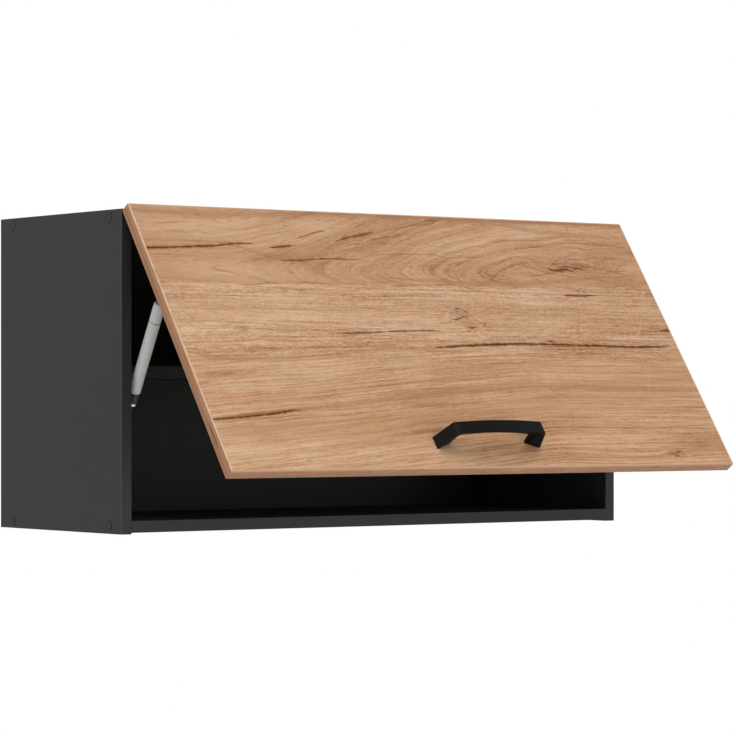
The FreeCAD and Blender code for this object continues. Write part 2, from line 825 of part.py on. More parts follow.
def strut_rod():
    top = tube_end() + collar_length + ring_length - rod_inside
    end = foot_neck_start()
    return Part.makeCylinder(rod_radius, end - top, FreeCAD.Vector(0, 0, -end))


def strut_foot():
    # Plastic socket at the rod's lower end, closed towards the inside of the cabinet.
    y, z, length, lean = strut_span()
    half = eye_width / 2
    socket = bar(foot_radius, (-half, 0, -length), (half, 0, -length))
    start = foot_neck_start()
    neck = Part.makeCylinder(foot_neck_radius, length - start, FreeCAD.Vector(0, 0, -length))
    return socket.fuse(neck).removeSplitter()


os.makedirs("parts", exist_ok=True)

save_pair("side_panel", side_panel())
save("top_panel", cross_panel(under_top, True))
save("bottom_panel", cross_panel(over_bottom - board, False))
save("back_panel", back_panel())
save("carcass_edge_bands", *carcass_edge_bands())
save("shelf", shelf())
pin_rows = (front + pin_row_front, front + pin_row_rear)
save("shelf_pins", *both_sides([shelf_pin(y) for y in pin_rows]))
save("carcass_screws", *both_sides([board_screw(y, z, 0) for y, z in board_screw_places()]))
save("screw_caps", *both_sides([screw_cap(y, z) for y, z in board_screw_places()]))
save("back_nails", *[nail(x, z, 0) for x, z in nail_places()])
plate = hanging_plate()
save("hanging_plate_right", plate)
save("hanging_plate_left", mirrored(plate))
save("hanging_screws", *both_sides([hanging_screw(x, z, 0) for x, z in hanging_screw_places()]))
save_pair("hinge_plate", hinge_plate())
save("hinge_plate_screws", *both_sides([wing_screw(x, y) for x, y in wing_screw_places()]))
save_pair("hinge_arm", hinge_arm())
save("hinge_arm_screws", *both_sides([arm_screw(share) for share in arm_screw_shares]))
save_pair("strut_wall_bracket", wall_bracket())
save("wall_bracket_screws", *both_sides([wall_screw(y, z) for y, z in wall_screw_places()]))

save("flap_panel", opened(flap_panel()))
save("flap_edge_bands", *[opened(strip) for strip in flap_edge_bands()])
save("flap_bumpers", *both_sides([opened(bumper())]))
save("handle", opened(handle()))
save("handle_screws", *[opened(handle_screw(side)) for side in (-1, 1)])
save_pair("hinge_cup", opened(hinge_cup()))
save("hinge_pins", *both_sides([opened(hinge_pin())]))
save("hinge_cup_screws", *both_sides([opened(cup_screw(x, z)) for x, z in cup_screw_places()]))
save_pair("strut_flap_bracket", opened(flap_bracket()))
save("flap_bracket_screws", *both_sides([opened(lug_screw(x, z)) for x, z in lug_screw_places()]))

save_pair("strut_eye", on_strut(strut_eye()))
save_pair("strut_cap", on_strut(strut_cap()))
save_pair("strut_tube", on_strut(strut_tube()))
save_pair("strut_collar", on_strut(strut_collar()))
save_pair("strut_ring", on_strut(strut_ring()))
save_pair("strut_rod", on_strut(strut_rod()))
save_pair("strut_foot", on_strut(strut_foot()))
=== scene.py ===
import bmesh
import bpy
import json
import math
from mathutils import Matrix, Vector


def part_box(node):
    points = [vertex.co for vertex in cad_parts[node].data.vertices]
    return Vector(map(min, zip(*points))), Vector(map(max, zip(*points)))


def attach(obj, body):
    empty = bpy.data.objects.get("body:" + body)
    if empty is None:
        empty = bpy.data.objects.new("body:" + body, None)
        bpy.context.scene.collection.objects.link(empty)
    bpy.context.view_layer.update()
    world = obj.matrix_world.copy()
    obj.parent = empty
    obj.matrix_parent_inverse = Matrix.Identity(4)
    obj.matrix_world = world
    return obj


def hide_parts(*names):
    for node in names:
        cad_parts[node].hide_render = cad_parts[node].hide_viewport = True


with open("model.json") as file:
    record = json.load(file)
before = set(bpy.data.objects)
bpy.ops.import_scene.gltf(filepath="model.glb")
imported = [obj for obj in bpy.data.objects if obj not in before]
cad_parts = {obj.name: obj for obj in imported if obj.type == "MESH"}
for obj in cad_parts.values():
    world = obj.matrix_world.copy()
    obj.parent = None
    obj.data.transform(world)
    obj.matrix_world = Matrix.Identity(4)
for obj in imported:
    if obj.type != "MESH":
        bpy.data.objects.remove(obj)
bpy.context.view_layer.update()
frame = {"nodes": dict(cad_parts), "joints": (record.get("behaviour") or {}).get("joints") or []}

bpy.ops.object.select_all(action="DESELECT")

# Side, top, bottom and shelf boards: chipboard faced with matt dark grey melamine.
# The facing is pressed with a fine pearl texture, so it is dull and slightly uneven.
# The boards are butt jointed and screwed through the sides.
nodes = frame["nodes"]
board_light = (0.0222, 0.0247, 0.0239)
board_dark = (0.0202, 0.0225, 0.0217)
cloud_scale = 26.0


def add_node(tree, kind, *values, **settings):
    """Adds one shader node, sets its options, and links or sets its inputs."""
    made = tree.nodes.new("ShaderNode" + kind)
    for name, value in settings.items():
        setattr(made, name, value)
    for socket, value in values:
        if isinstance(value, bpy.types.NodeSocket):
            tree.links.new(value, made.inputs[socket])
        else:
            made.inputs[socket].default_value = value
    return made


def mix_colours(tree, share, first, second, blend="MIX"):
    """Mixes two colours, each of them a link or its red, green and blue."""
    colours = [(*colour, 1.0) if isinstance(colour, tuple) else colour for colour in (first, second)]
    values = [(0, share), (6, colours[0]), (7, colours[1])]
    return add_node(tree, "Mix", *values, data_type="RGBA", blend_type=blend).outputs[2]


def spread(tree, value, low, high, new_low=0.0, new_high=1.0):
    """Maps a value from one range to another, smoothly and without overshoot."""
    ranges = [("From Min", low), ("From Max", high), ("To Min", new_low), ("To Max", new_high)]
    made = add_node(tree, "MapRange", ("Value", value), *ranges, interpolation_type="SMOOTHSTEP")
    return made.outputs["Result"]


def scaled(tree, place, factor):
    """The same place with all axes scaled by one factor."""
    return add_node(tree, "VectorMath", (0, place), ("Scale", factor), operation="SCALE").outputs[0]


def noise(tree, place, detail=2.0, roughness=0.5):
    """Smooth random values from zero to one, one wave to each unit of the place."""
    values = [("Vector", place), ("Scale", 1.0), ("Detail", detail), ("Roughness", roughness)]
    return add_node(tree, "TexNoise", *values).outputs["Fac"]


def new_group(name, inputs, outputs):
    """An empty shader node group with its named inputs and outputs."""
    tree = bpy.data.node_groups.new(name, "ShaderNodeTree")
    for label, kind in inputs:
        tree.interface.new_socket(label, in_out="INPUT", socket_type="NodeSocket" + kind)
    for label, kind in outputs:
        tree.interface.new_socket(label, in_out="OUTPUT", socket_type="NodeSocket" + kind)
    return tree


def new_material(name):
    """A material with its node tree and its Principled shader."""
    material = bpy.data.materials.new(name)
    material.use_nodes = True
    return material, material.node_tree, material.node_tree.nodes["Principled BSDF"]


def object_place(tree):
    """Places on a piece in Object coordinates."""
    return tree.nodes.new("ShaderNodeTexCoord").outputs["Object"]


def emboss(tree, shader, height, strength, depth):
    """Presses a pattern of heights into a surface."""
    bump = add_node(tree, "Bump", ("Height", height), ("Strength", strength), ("Distance", depth))
    tree.links.new(bump.outputs["Normal"], shader.inputs["Normal"])


def finish_with(material, *names):
    """Gives CAD pieces their finish."""
    for name in names:
        nodes[name].data.materials.clear()
        nodes[name].data.materials.append(material)


grit = new_group(
    "fine_grit",
    inputs=[("Place", "Vector"), ("Grain", "Float")],
    outputs=[("Height", "Float"), ("Mottle", "Float")],
)
ports = grit.nodes.new("NodeGroupInput").outputs
results = grit.nodes.new("NodeGroupOutput").inputs
grains = scaled(grit, ports["Place"], ports["Grain"])
clouds = scaled(grit, ports["Place"], cloud_scale)
grit.links.new(noise(grit, grains, detail=3.0, roughness=0.6), results["Height"])
grit.links.new(noise(grit, clouds, detail=4.0, roughness=0.6), results["Mottle"])


def gritty_finish(name, light, dark, grain, roughness, depth, metallic=0.0, sheen=0.5):
    """A finish with a fine pressed or sprayed grain, faint clouds of tone and uneven gloss."""
    material, tree, shader = new_material(name)
    values = [("Place", object_place(tree)), ("Grain", grain)]
    texture = add_node(tree, "Group", *values, node_tree=grit).outputs
    tone = spread(tree, texture["Mottle"], 0.3, 0.7)
    tree.links.new(mix_colours(tree, tone, dark, light), shader.inputs["Base Color"])
    gloss = spread(tree, texture["Height"], 0.3, 0.7, *roughness)
    tree.links.new(gloss, shader.inputs["Roughness"])
    emboss(tree, shader, texture["Height"], strength=0.35, depth=depth)
    shader.inputs["Metallic"].default_value = metallic
    shader.inputs["Specular IOR Level"].default_value = sheen
    return material


dark_melamine = gritty_finish(
    "dark_melamine", board_light, board_dark, grain=1500.0, roughness=(0.46, 0.60), depth=0.00006, sheen=0.22
)
finish_with(dark_melamine, "side_panel_left", "side_panel_right", "top_panel", "bottom_panel", "shelf")

# Edging: plastic strip, one millimetre thick, glued along the boards' front edges and eased by hand.
# It has the boards' colour and a smoother, slightly glossier face, and carries a painted highlight along its
# outer corners.
edging_light = (0.0245, 0.0255, 0.0245)
edging_dark = (0.0222, 0.0232, 0.0222)
# The paler colour below is a painted highlight for the outer corners of the edging.
edging_painted_highlight = (0.060, 0.062, 0.060)
highlight_from = 0.0008
highlight_full = 0.0002
edging_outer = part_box("carcass_edge_bands")[1].x


def maths(tree, operation, first, second=0.0, third=0.0):
    """One sum with values or links."""
    values = [(0, first), (1, second), (2, third)]
    return add_node(tree, "Math", *values, operation=operation).outputs[0]


def axes_of(tree, place):
    """The X, Y and Z of a place."""
    return add_node(tree, "SeparateXYZ", (0, place)).outputs


def tint_over(material, share, tint):
    """Lays another colour over a finish, as far as the share says at each place."""
    tree = material.node_tree
    colour_in = tree.nodes["Principled BSDF"].inputs["Base Color"]
    plain = colour_in.links[0].from_socket
    tree.links.new(mix_colours(tree, share, plain, tint), colour_in)


dark_edging = gritty_finish(
    "dark_edging", edging_light, edging_dark, grain=900.0, roughness=(0.42, 0.52), depth=0.00003, sheen=0.22
)
tree = dark_edging.node_tree
# Painted highlight: the edging turns paler along the outer corners of the side boards' front edges.
sideways = maths(tree, "ABSOLUTE", axes_of(tree, object_place(tree))["X"])
corner_highlight_share = spread(tree, sideways, edging_outer - highlight_from, edging_outer - highlight_full)
tint_over(dark_edging, corner_highlight_share, edging_painted_highlight)
finish_with(dark_edging, "carcass_edge_bands")

# Back: a sheet of thin hardboard, laid in a rebate behind the boards and nailed there.
# Its inner face is lacquered dark, and its wall side shows the raw brown fibre.
fibre_light = (0.235, 0.140, 0.075)
fibre_dark = (0.120, 0.066, 0.034)
fibre_scale = (900.0, 300.0, 420.0)
blotch_scale = (18.0, 18.0, 14.0)
lacquer_depth = 0.0008
back_low, back_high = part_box("back_panel")


def stretched(tree, place, scale):
    """The same place with each axis scaled by its own factor."""
    return add_node(tree, "VectorMath", (0, place), (1, scale), operation="MULTIPLY").outputs[0]


hardboard, tree, shader = new_material("hardboard")
place = object_place(tree)
fibres = noise(tree, stretched(tree, place, fibre_scale), detail=4.0, roughness=0.65)
blotches = noise(tree, stretched(tree, place, blotch_scale), detail=4.0, roughness=0.6)
fibre_tone = maths(tree, "MULTIPLY_ADD", fibres, 0.7, maths(tree, "MULTIPLY", blotches, 0.3))
raw = mix_colours(tree, spread(tree, fibre_tone, 0.32, 0.68), fibre_dark, fibre_light)
lacquer = mix_colours(tree, blotches, board_dark, board_light)
depth_in = axes_of(tree, place)["Y"]
rear_share = spread(tree, depth_in, back_low.y + lacquer_depth, back_high.y - lacquer_depth)
tree.links.new(mix_colours(tree, rear_share, lacquer, raw), shader.inputs["Base Color"])
tree.links.new(maths(tree, "MULTIPLY_ADD", rear_share, 0.35, 0.5), shader.inputs["Roughness"])
emboss(tree, shader, fibres, strength=0.4, depth=0.0002)
shader.inputs["Specular IOR Level"].default_value = 0.22
finish_with(hardboard, "back_panel")

# Back nails: zinc plated wire nails, driven through the back into the rebates of the boards.
# Each head is headed cold from the wire, so it has a low dome.
zinc_light = (0.62, 0.63, 0.64)
zinc_dark = (0.44, 0.45, 0.47)
nail_head = 0.0008
wallward = (0.0, 1.0, 0.0)


def open_shape(add, **options):
    """Starts a piece from a primitive at the origin, with nothing else selected, ready for shaping."""
    bpy.ops.object.select_all(action="DESELECT")
    add(**options)
    bpy.ops.object.mode_set(mode="EDIT")
    return bpy.context.object


def pick(shape, kind, chosen):
    """Selects the corners, edges or faces of an open shape whose corners all pass a test."""
    bpy.ops.mesh.select_mode(type=kind)
    bpy.ops.mesh.select_all(action="DESELECT")
    form = bmesh.from_edit_mesh(shape.data)
    kinds = {"VERT": form.verts, "EDGE": form.edges, "FACE": form.faces}
    for part in kinds[kind]:
        corners = [part] if kind == "VERT" else part.verts
        part.select_set(all(chosen(corner.co) for corner in corners))
    bmesh.update_edit_mesh(shape.data)


def rounded_disc(radius, height, crown, sides, steps):
    """A disc on the plane of the origin with its upper rim rounded, left open for more shaping."""
    shape = open_shape(bpy.ops.mesh.primitive_cylinder_add, vertices=sides, radius=radius, depth=height)
    bpy.ops.mesh.select_all(action="SELECT")
    bpy.ops.transform.translate(value=(0.0, 0.0, height / 2))
    pick(shape, "EDGE", lambda corner: corner.z > height * 0.9)
    bpy.ops.mesh.bevel(offset=crown, segments=steps, affect="EDGES")
    return shape


def round_head(radius, height, crown, shank, length):
    """A headed pin along Z: its head stands on the plane of the origin, its shank goes down from there."""
    shape = rounded_disc(radius, height, crown, sides=32, steps=4)
    pick(shape, "FACE", lambda corner: corner.z < height * 0.01)
    bpy.ops.mesh.inset(thickness=radius - shank)
    bpy.ops.mesh.extrude_region_move(TRANSFORM_OT_translate={"value": (0.0, 0.0, -length)})
    bpy.ops.object.mode_set(mode="OBJECT")
    return shape


def solids_of(name):
    """The separate solids of a CAD piece, each as the set of its corners."""
    mesh = nodes[name].data
    solids = []
    for face in mesh.polygons:
        corners = {tuple(round(value, 6) for value in mesh.vertices[index].co) for index in face.vertices}
        touching = [solid for solid in solids if not solid.isdisjoint(corners)]
        solids = [solid for solid in solids if solid.isdisjoint(corners)] + [corners.union(*touching)]
    return solids


def copies_on(shape, name, outward, height, material, body):
    """Sets a copy of a shape on each solid of a CAD piece, level with its outer end, in place of that piece.
    The direction is that of the left solids, and the right ones face the mirrored way."""
    made = []
    for solid in solids_of(name):
        mirror = -1.0 if min(corner[0] for corner in solid) > 0.0 else 1.0
        turn = Vector((outward[0] * mirror, outward[1], outward[2])).to_track_quat("Z", "Y")
        spread_out = [turn.inverted() @ Vector(corner) for corner in solid]
        middle = [(min(axis) + max(axis)) / 2 for axis in zip(*spread_out)]
        middle[2] = max(corner.z for corner in spread_out) - height
        copy = bpy.data.objects.new(name + "_piece", shape.data.copy())
        bpy.context.collection.objects.link(copy)
        copy.matrix_world = Matrix.Translation(turn @ Vector(middle)) @ turn.to_matrix().to_4x4()
        made.append(copy)
    bpy.ops.object.select_all(action="DESELECT")
    for copy in made:
        copy.select_set(True)
    bpy.context.view_layer.objects.active = made[0]
    bpy.ops.object.join()
    bpy.ops.object.transform_apply(location=True, rotation=True, scale=True)
    bpy.ops.object.shade_smooth_by_angle(angle=math.radians(35.0))
    piece = made[0]
    piece.data.materials.clear()
    piece.data.materials.append(material)
    bpy.data.objects.remove(shape)
    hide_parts(name)
    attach(piece, body)


zinc = gritty_finish(
    "zinc_plate", zinc_light, zinc_dark, grain=700.0, roughness=(0.28, 0.46), depth=0.00003, metallic=1.0
)
nail = round_head(radius=0.0025, height=nail_head, crown=0.0006, shank=0.0008, length=0.016)
copies_on(nail, "back_nails", wallward, nail_head, zinc, "carcass")

# Hanging plates: pressed zinc plated steel behind the back, one in each upper corner, for the wall hooks.
# Three flat-headed screws hold each plate to the edges of the top and side boards.
plate_screw_head = 0.00075
finish_with(zinc, "hanging_plate_left", "hanging_plate_right")


def cross_screw(radius, height, crown, shank, length, recess):
    """A screw along Z with a tapered cross for the driver sunk into its head."""
    shape = round_head(radius, height, crown, shank, length)
    arm_size = (radius * 1.15, radius * 0.26, recess * 2)
    arm_taper = (0.45, 0.75, 1.0)
    for quarter in (0.0, math.pi / 2):
        cutter = open_shape(bpy.ops.mesh.primitive_cube_add, size=1.0)
        bpy.ops.mesh.select_all(action="SELECT")
        bpy.ops.transform.resize(value=arm_size)
        pick(cutter, "VERT", lambda corner: corner.z < 0.0)
        bpy.ops.transform.resize(value=arm_taper)
        bpy.ops.mesh.select_all(action="SELECT")
        bpy.ops.transform.rotate(value=quarter, orient_axis="Z", center_override=(0.0, 0.0, 0.0))
        bpy.ops.transform.translate(value=(0.0, 0.0, height))
        bpy.ops.object.mode_set(mode="OBJECT")
        bpy.ops.object.select_all(action="DESELECT")
        bpy.context.view_layer.objects.active = shape
        cut = shape.modifiers.new("recess", "BOOLEAN")
        cut.operation = "DIFFERENCE"
        cut.object = cutter
        bpy.ops.object.modifier_apply(modifier=cut.name)
        bpy.data.objects.remove(cutter)
    return shape


plate_screw = cross_screw(
    radius=0.003, height=plate_screw_head, crown=0.0002, shank=0.0015, length=0.019, recess=0.0005
)
copies_on(plate_screw, "hanging_screws", wallward, plate_screw_head, zinc, "carcass")

# Joint screws and their caps: steel screws through the sides into the ends of the top and bottom boards.
# A thin moulded plastic disc, slightly dished inside its rim, covers each sunk head.
cap_light = (0.022, 0.023, 0.022)
cap_dark = (0.018, 0.019, 0.018)
leftward = (-1.0, 0.0, 0.0)
cap_height = 0.0007
cap_rim = 0.0006
cap_slope = 0.0010
cap_dish = 0.0002
finish_with(zinc, "carcass_screws")
cap_plastic = gritty_finish(
    "cap_plastic", cap_light, cap_dark, grain=2200.0, roughness=(0.45, 0.6), depth=0.00004, sheen=0.22
)
cap = rounded_disc(radius=0.0063, height=cap_height, crown=0.0004, sides=40, steps=3)
pick(cap, "FACE", lambda corner: corner.z > cap_height * 0.99)
bpy.ops.mesh.inset(thickness=cap_rim)
bpy.ops.mesh.inset(thickness=cap_slope)
bpy.ops.transform.translate(value=(0.0, 0.0, -cap_dish))
bpy.ops.object.mode_set(mode="OBJECT")
copies_on(cap, "screw_caps", leftward, cap_height, cap_plastic, "carcass")

# Shelf pins: nickel plated steel, each with a round dowel and a flat rest.
# The dowel is pressed into the side board, and the shelf lies loose on the four rests.
nickel_light = (0.72, 0.70, 0.66)
nickel_dark = (0.60, 0.585, 0.55)
nickel = gritty_finish(
    "nickel_plate", nickel_light, nickel_dark,
    grain=500.0, roughness=(0.26, 0.38), depth=0.000003, metallic=1.0,
)
finish_with(nickel, "shelf_pins")

# Hinges: nickel plated pressed steel. A cup let into the flap, a pin, and a cranked arm on a plate.
# The plates and the cups' flanges are held by pan-headed screws with a cross recess.
joints = {joint["name"]: joint for joint in frame["joints"]}
hinge = joints["flap_hinge"]
rest_open = math.radians(-hinge["range_deg"][0])
flap_inward = (0.0, math.cos(rest_open), -math.sin(rest_open))
downward = (0.0, 0.0, -1.0)
small_head = 0.0018
finish_with(
    nickel, "hinge_plate_left", "hinge_plate_right", "hinge_arm_left", "hinge_arm_right",
    "hinge_cup_left", "hinge_cup_right", "hinge_pins", "hinge_arm_screws",
)


def small_screw():
    """A pan-headed wood screw along Z."""
    return cross_screw(
        radius=0.0036, height=small_head, crown=0.0012, shank=0.0017, length=0.011, recess=0.0011
    )


copies_on(small_screw(), "hinge_plate_screws", downward, small_head, zinc, "carcass")
copies_on(small_screw(), "hinge_cup_screws", flap_inward, small_head, zinc, "flap")

# Flap: laminated board with an oak decor whose grain runs from side to side, hung on the two hinges.
# The upper plank of the decor has a flame figure, those below have straight rough grain,
# and drying cracks and small knots are part of the print, which is pressed with a fine relief.
hinge_line = Vector(hinge["pos_m"])
shut_turn = Matrix.Rotation(rest_open, 3, "X")
flap_rim = [corner.co - hinge_line for corner in nodes["flap_edge_bands"].data.vertices]
shut_rim = [hinge_line + shut_turn @ corner for corner in flap_rim]
flap_top = max(corner.z for corner in shut_rim)
decor_drop = flap_top - min(corner.z for corner in shut_rim)
decor_width = 0.8
oak_pale = (0.640, 0.442, 0.290)
oak_light = (0.545, 0.342, 0.206)
oak_middle = (0.440, 0.245, 0.131)
oak_brown = (0.296, 0.139, 0.063)
oak_umber = (0.140, 0.056, 0.023)
oak_dark = (0.058, 0.015, 0.001)
oak_rust = (0.215, 0.072, 0.016)


def times(tree, value, factor):
    """The product of two values."""
    return maths(tree, "MULTIPLY", value, factor)


def plus(tree, total, value, share):
    """A total with a share of a value added to it."""
    return maths(tree, "MULTIPLY_ADD", value, share, total)


def gap(tree, first, second):
    """How far two values lie apart."""
    return maths(tree, "ABSOLUTE", maths(tree, "SUBTRACT", first, second))


def at(tree, *values):
    """A place from up to three values, with zero for the rest."""
    return add_node(tree, "CombineXYZ", *enumerate(values)).outputs[0]


def about_zero(tree, *options):
    """Noise that varies about zero."""
    return maths(tree, "SUBTRACT", noise(tree, *options), 0.5)


def mix_values(tree, share, first, second):
    """The first value where the share is zero, the second where it is one."""
    return add_node(tree, "Mix", (0, share), (2, first), (3, second)).outputs[0]


def closed_place(tree):
    """Places on the flap as they lie when it is shut: along, through and down from its top edge."""
    turn = [("Vector", object_place(tree)), ("Center", hinge_line), ("Angle", rest_open)]
    shut = axes_of(tree, add_node(tree, "VectorRotate", *turn, rotation_type="X_AXIS").outputs[0])
    return shut["X"], shut["Y"], maths(tree, "SUBTRACT", flap_top, shut["Z"])


oak = new_group("oak_decor", inputs=[], outputs=[("Color", "Color"), ("Height", "Float")])
along, through, down = closed_place(oak)
board = at(oak, along, through, down)
sheet = at(oak, along, down)

# The joint between the flame plank and the straight planks below it wanders a little.
joint_down = 0.1165
joint_slope = -0.016
joint_wander = 0.014
joint_blend = 0.002
joint_scale = (9.0, 0.0, 0.0)
joint_wave = about_zero(oak, stretched(oak, board, joint_scale))
joint_line = plus(oak, joint_down, along, joint_slope)
joint_line = plus(oak, joint_line, joint_wave, joint_wander)
lower_plank = spread(oak, maths(oak, "SUBTRACT", down, joint_line), -joint_blend, joint_blend)
upper_plank = maths(oak, "SUBTRACT", 1.0, lower_plank)

# Slow waves bend every grain line, and the lowest planks' lines climb from the left to the middle.
upper_wave_depth = 0.030
lower_wave_depth = 0.013
wave_scale = (3.4, 8.0, 12.0)
steepest_climb = 0.09
climb_from = 0.16
climb_full = 0.30
climb_end = 0.12
wave = about_zero(oak, stretched(oak, board, wave_scale))
bent = plus(oak, down, wave, mix_values(oak, lower_plank, upper_wave_depth, lower_wave_depth))
climb = spread(oak, down, climb_from, climb_full, 0.0, steepest_climb)
bent = plus(oak, bent, maths(oak, "MINIMUM", along, climb_end), climb)

# Flame plank: rings round a slanting pith line, so that they close towards the left.
flame_axis = 0.098
flame_depth = 0.011
flame_reach = 0.150
flame_left = -0.34
flame_right = 0.26
curl_depth = 0.020
curl_scale = (13.0, 8.0, 34.0)
curl = about_zero(oak, stretched(oak, board, curl_scale), 2.0, 0.55)
curled = plus(oak, bent, curl, curl_depth)
off_axis = maths(oak, "SUBTRACT", curled, flame_axis)
ring = maths(oak, "SQRT", plus(oak, flame_depth * flame_depth, off_axis, off_axis))
ring = maths(oak, "SUBTRACT", ring, spread(oak, along, flame_left, flame_right, 0.0, flame_reach))
grain = mix_values(oak, lower_plank, ring, bent)

# Knots push the grain lines aside: along, down, half length, half height, push and darkness of each.
knots = [
    (0.282, 0.080, 0.058, 0.015, 0.034, 0.22),
    (0.048, 0.161, 0.021, 0.013, 0.020, 1.00),
    (0.058, 0.183, 0.010, 0.005, 0.008, 1.00),
    (0.081, 0.178, 0.005, 0.004, 0.003, 0.90),
    (0.309, 0.384, 0.020, 0.010, 0.007, 1.00),
    (-0.128, 0.196, 0.007, 0.005, 0.006, 0.30),
    (-0.025, 0.109, 0.004, 0.003, 0.003, 0.80),
    (-0.215, 0.130, 0.009, 0.004, 0.003, 0.45),
    (-0.043, 0.183, 0.006, 0.003, 0.003, 0.60),
]
spot = at(oak, along, 0.0, down)


def off_spot(place_along, place_down, half_length, half_height):
    """How far each place lies from the middle of an oval, where one is on its rim."""
    middle = (place_along, 0.0, place_down)
    off = add_node(oak, "VectorMath", (0, spot), (1, middle), operation="SUBTRACT").outputs[0]
    off = stretched(oak, off, (1.0 / half_length, 0.0, 1.0 / half_height))
    return add_node(oak, "VectorMath", (0, off), operation="LENGTH").outputs["Value"]


knot_core = 0.0
for knot_along, knot_down, half_length, half_height, push, darkness in knots:
    reach = off_spot(knot_along, knot_down, half_length, half_height)
    grain = maths(oak, "ADD", grain, spread(oak, reach, 0.0, 1.9, push, 0.0))
    knot_core = maths(oak, "MAXIMUM", spread(oak, reach, 0.1, 1.3, darkness, 0.0), knot_core)

# Figure: streaks of several widths, clouds of tone, and rough short grain on the straight planks.
streak_depth = 40.0
oak_cloud_scale = (5.0, 8.0, 15.0)
calm_from = 0.20
calm_full = 0.25


def streaks(line, lengthwise, across, detail=2.0, roughness=0.6):
    """Streaks drawn out along the board, which follow the given grain line, as a value about zero."""
    place = stretched(oak, at(oak, along, through, line), (lengthwise, streak_depth, across))
    return about_zero(oak, place, detail, roughness)


broad_share = mix_values(oak, lower_plank, 0.52, 0.38)
ring_share = mix_values(oak, lower_plank, 0.44, 0.74)
calm = spread(oak, down, calm_from, calm_full, 0.0, 0.42)
rough_share = maths(oak, "SUBTRACT", mix_values(oak, lower_plank, 0.38, 0.76), calm)
rough = streaks(bent, lengthwise=42.0, across=430.0, roughness=0.65)
cloudy = about_zero(oak, stretched(oak, board, oak_cloud_scale), 3.0, 0.55)
figure = plus(oak, 0.5, streaks(grain, lengthwise=1.6, across=42.0), broad_share)
figure = plus(oak, figure, streaks(grain, lengthwise=4.5, across=165.0), 0.42)
figure = plus(oak, figure, streaks(grain, lengthwise=7.0, across=400.0, detail=1.0), ring_share)
figure = plus(oak, figure, rough, rough_share)
figure = plus(oak, figure, streaks(bent, lengthwise=190.0, across=540.0, detail=1.0), rough_share)
figure = plus(oak, figure, cloudy, 0.55)
figure = plus(oak, figure, lower_plank, 0.12)
figure = plus(oak, figure, along, -0.10)

# The flame plank is calmest at its left end.
quiet_tone = 0.53
quiet_end = 0.14
quiet = times(oak, spread(oak, along, flame_left, quiet_end, 0.50, 0.10), upper_plank)
figure = mix_values(oak, quiet, figure, quiet_tone)

# Paler and darker patches of the print: along, down, half length, half height and lift of each.
patches = [
    (-0.26, 0.038, 0.16, 0.034, 0.13),
    (-0.29, 0.102, 0.12, 0.022, 0.18),
    (-0.13, 0.022, 0.07, 0.016, 0.14),
    (-0.18, 0.086, 0.10, 0.020, -0.09),
    (0.06, 0.088, 0.08, 0.026, -0.14),
    (0.26, 0.050, 0.16, 0.040, 0.03),
    (-0.08, 0.172, 0.14, 0.036, 0.12),
    (0.07, 0.180, 0.07, 0.028, -0.13),
    (0.24, 0.165, 0.18, 0.035, -0.09),
    (0.19, 0.232, 0.12, 0.022, -0.08),
    (-0.05, 0.266, 0.14, 0.045, -0.17),
    (-0.30, 0.322, 0.14, 0.030, -0.15),
    (-0.03, 0.330, 0.17, 0.045, -0.10),
    (0.22, 0.335, 0.09, 0.050, 0.07),
    (0.36, 0.335, 0.08, 0.050, -0.12),
    (-0.22, 0.388, 0.24, 0.034, 0.10),
]
for patch_along, patch_down, half_length, half_height, lift in patches:
    reach = off_spot(patch_along, patch_down, half_length, half_height)
    figure = maths(oak, "ADD", figure, spread(oak, reach, 0.0, 1.4, lift, 0.0))

tones = [(0.06, oak_umber), (0.26, oak_brown), (0.46, oak_middle), (0.67, oak_light), (0.94, oak_pale)]
ramp = add_node(oak, "ValToRGB", (0, figure))
stops = ramp.color_ramp.elements
stops[0].position = tones[0][0]
stops[1].position = tones[-1][0]
for position, tint in tones[1:-1]:
    stops.new(position)
for stop, (position, tint) in zip(stops, tones):
    stop.color = (*tint, 1.0)
colour = ramp.outputs["Color"]

# Pores are short dark dashes along the grain, and knots have a brown halo with dark scratches in it.
scribble_scale = (130.0, 330.0, 0.0)
pore_mask = spread(oak, streaks(bent, lengthwise=55.0, across=560.0, detail=1.0), 0.13, 0.27)
colour = mix_colours(oak, times(oak, pore_mask, 0.40), colour, oak_umber)
colour = mix_colours(oak, times(oak, knot_core, 0.50), colour, oak_brown)
scribble = noise(oak, stretched(oak, sheet, scribble_scale), detail=3.0, roughness=0.65)
scratches = times(oak, knot_core, spread(oak, scribble, 0.53, 0.62))
colour = mix_colours(oak, times(oak, scratches, 0.8), colour, oak_dark)

# Ring lines: thin broken brown lines that follow the flame, and one line along the joint of the planks.
rings_per_metre = 64.0
ring_wave_scale = (4.0, 0.0, 22.0)
ring_break_scale = (16.0, 0.0, 70.0)
joint_core = 0.0002
joint_rim = 0.0014
ring_wave = about_zero(oak, stretched(oak, board, ring_wave_scale))
ring_count = plus(oak, times(oak, ring, rings_per_metre), ring_wave, 1.6)
off_ring = gap(oak, maths(oak, "FRACT", ring_count), 0.5)
broken = spread(oak, noise(oak, stretched(oak, board, ring_break_scale)), 0.42, 0.60)
ring_lines = times(oak, spread(oak, off_ring, 0.0, 0.075, 0.42, 0.0), broken)
ring_lines = times(oak, ring_lines, upper_plank)
joint_mark = spread(oak, gap(oak, down, joint_line), joint_core, joint_rim, 0.5, 0.0)
joint_mark = times(oak, joint_mark, broken)
colour = mix_colours(oak, maths(oak, "MAXIMUM", ring_lines, joint_mark), colour, oak_umber)

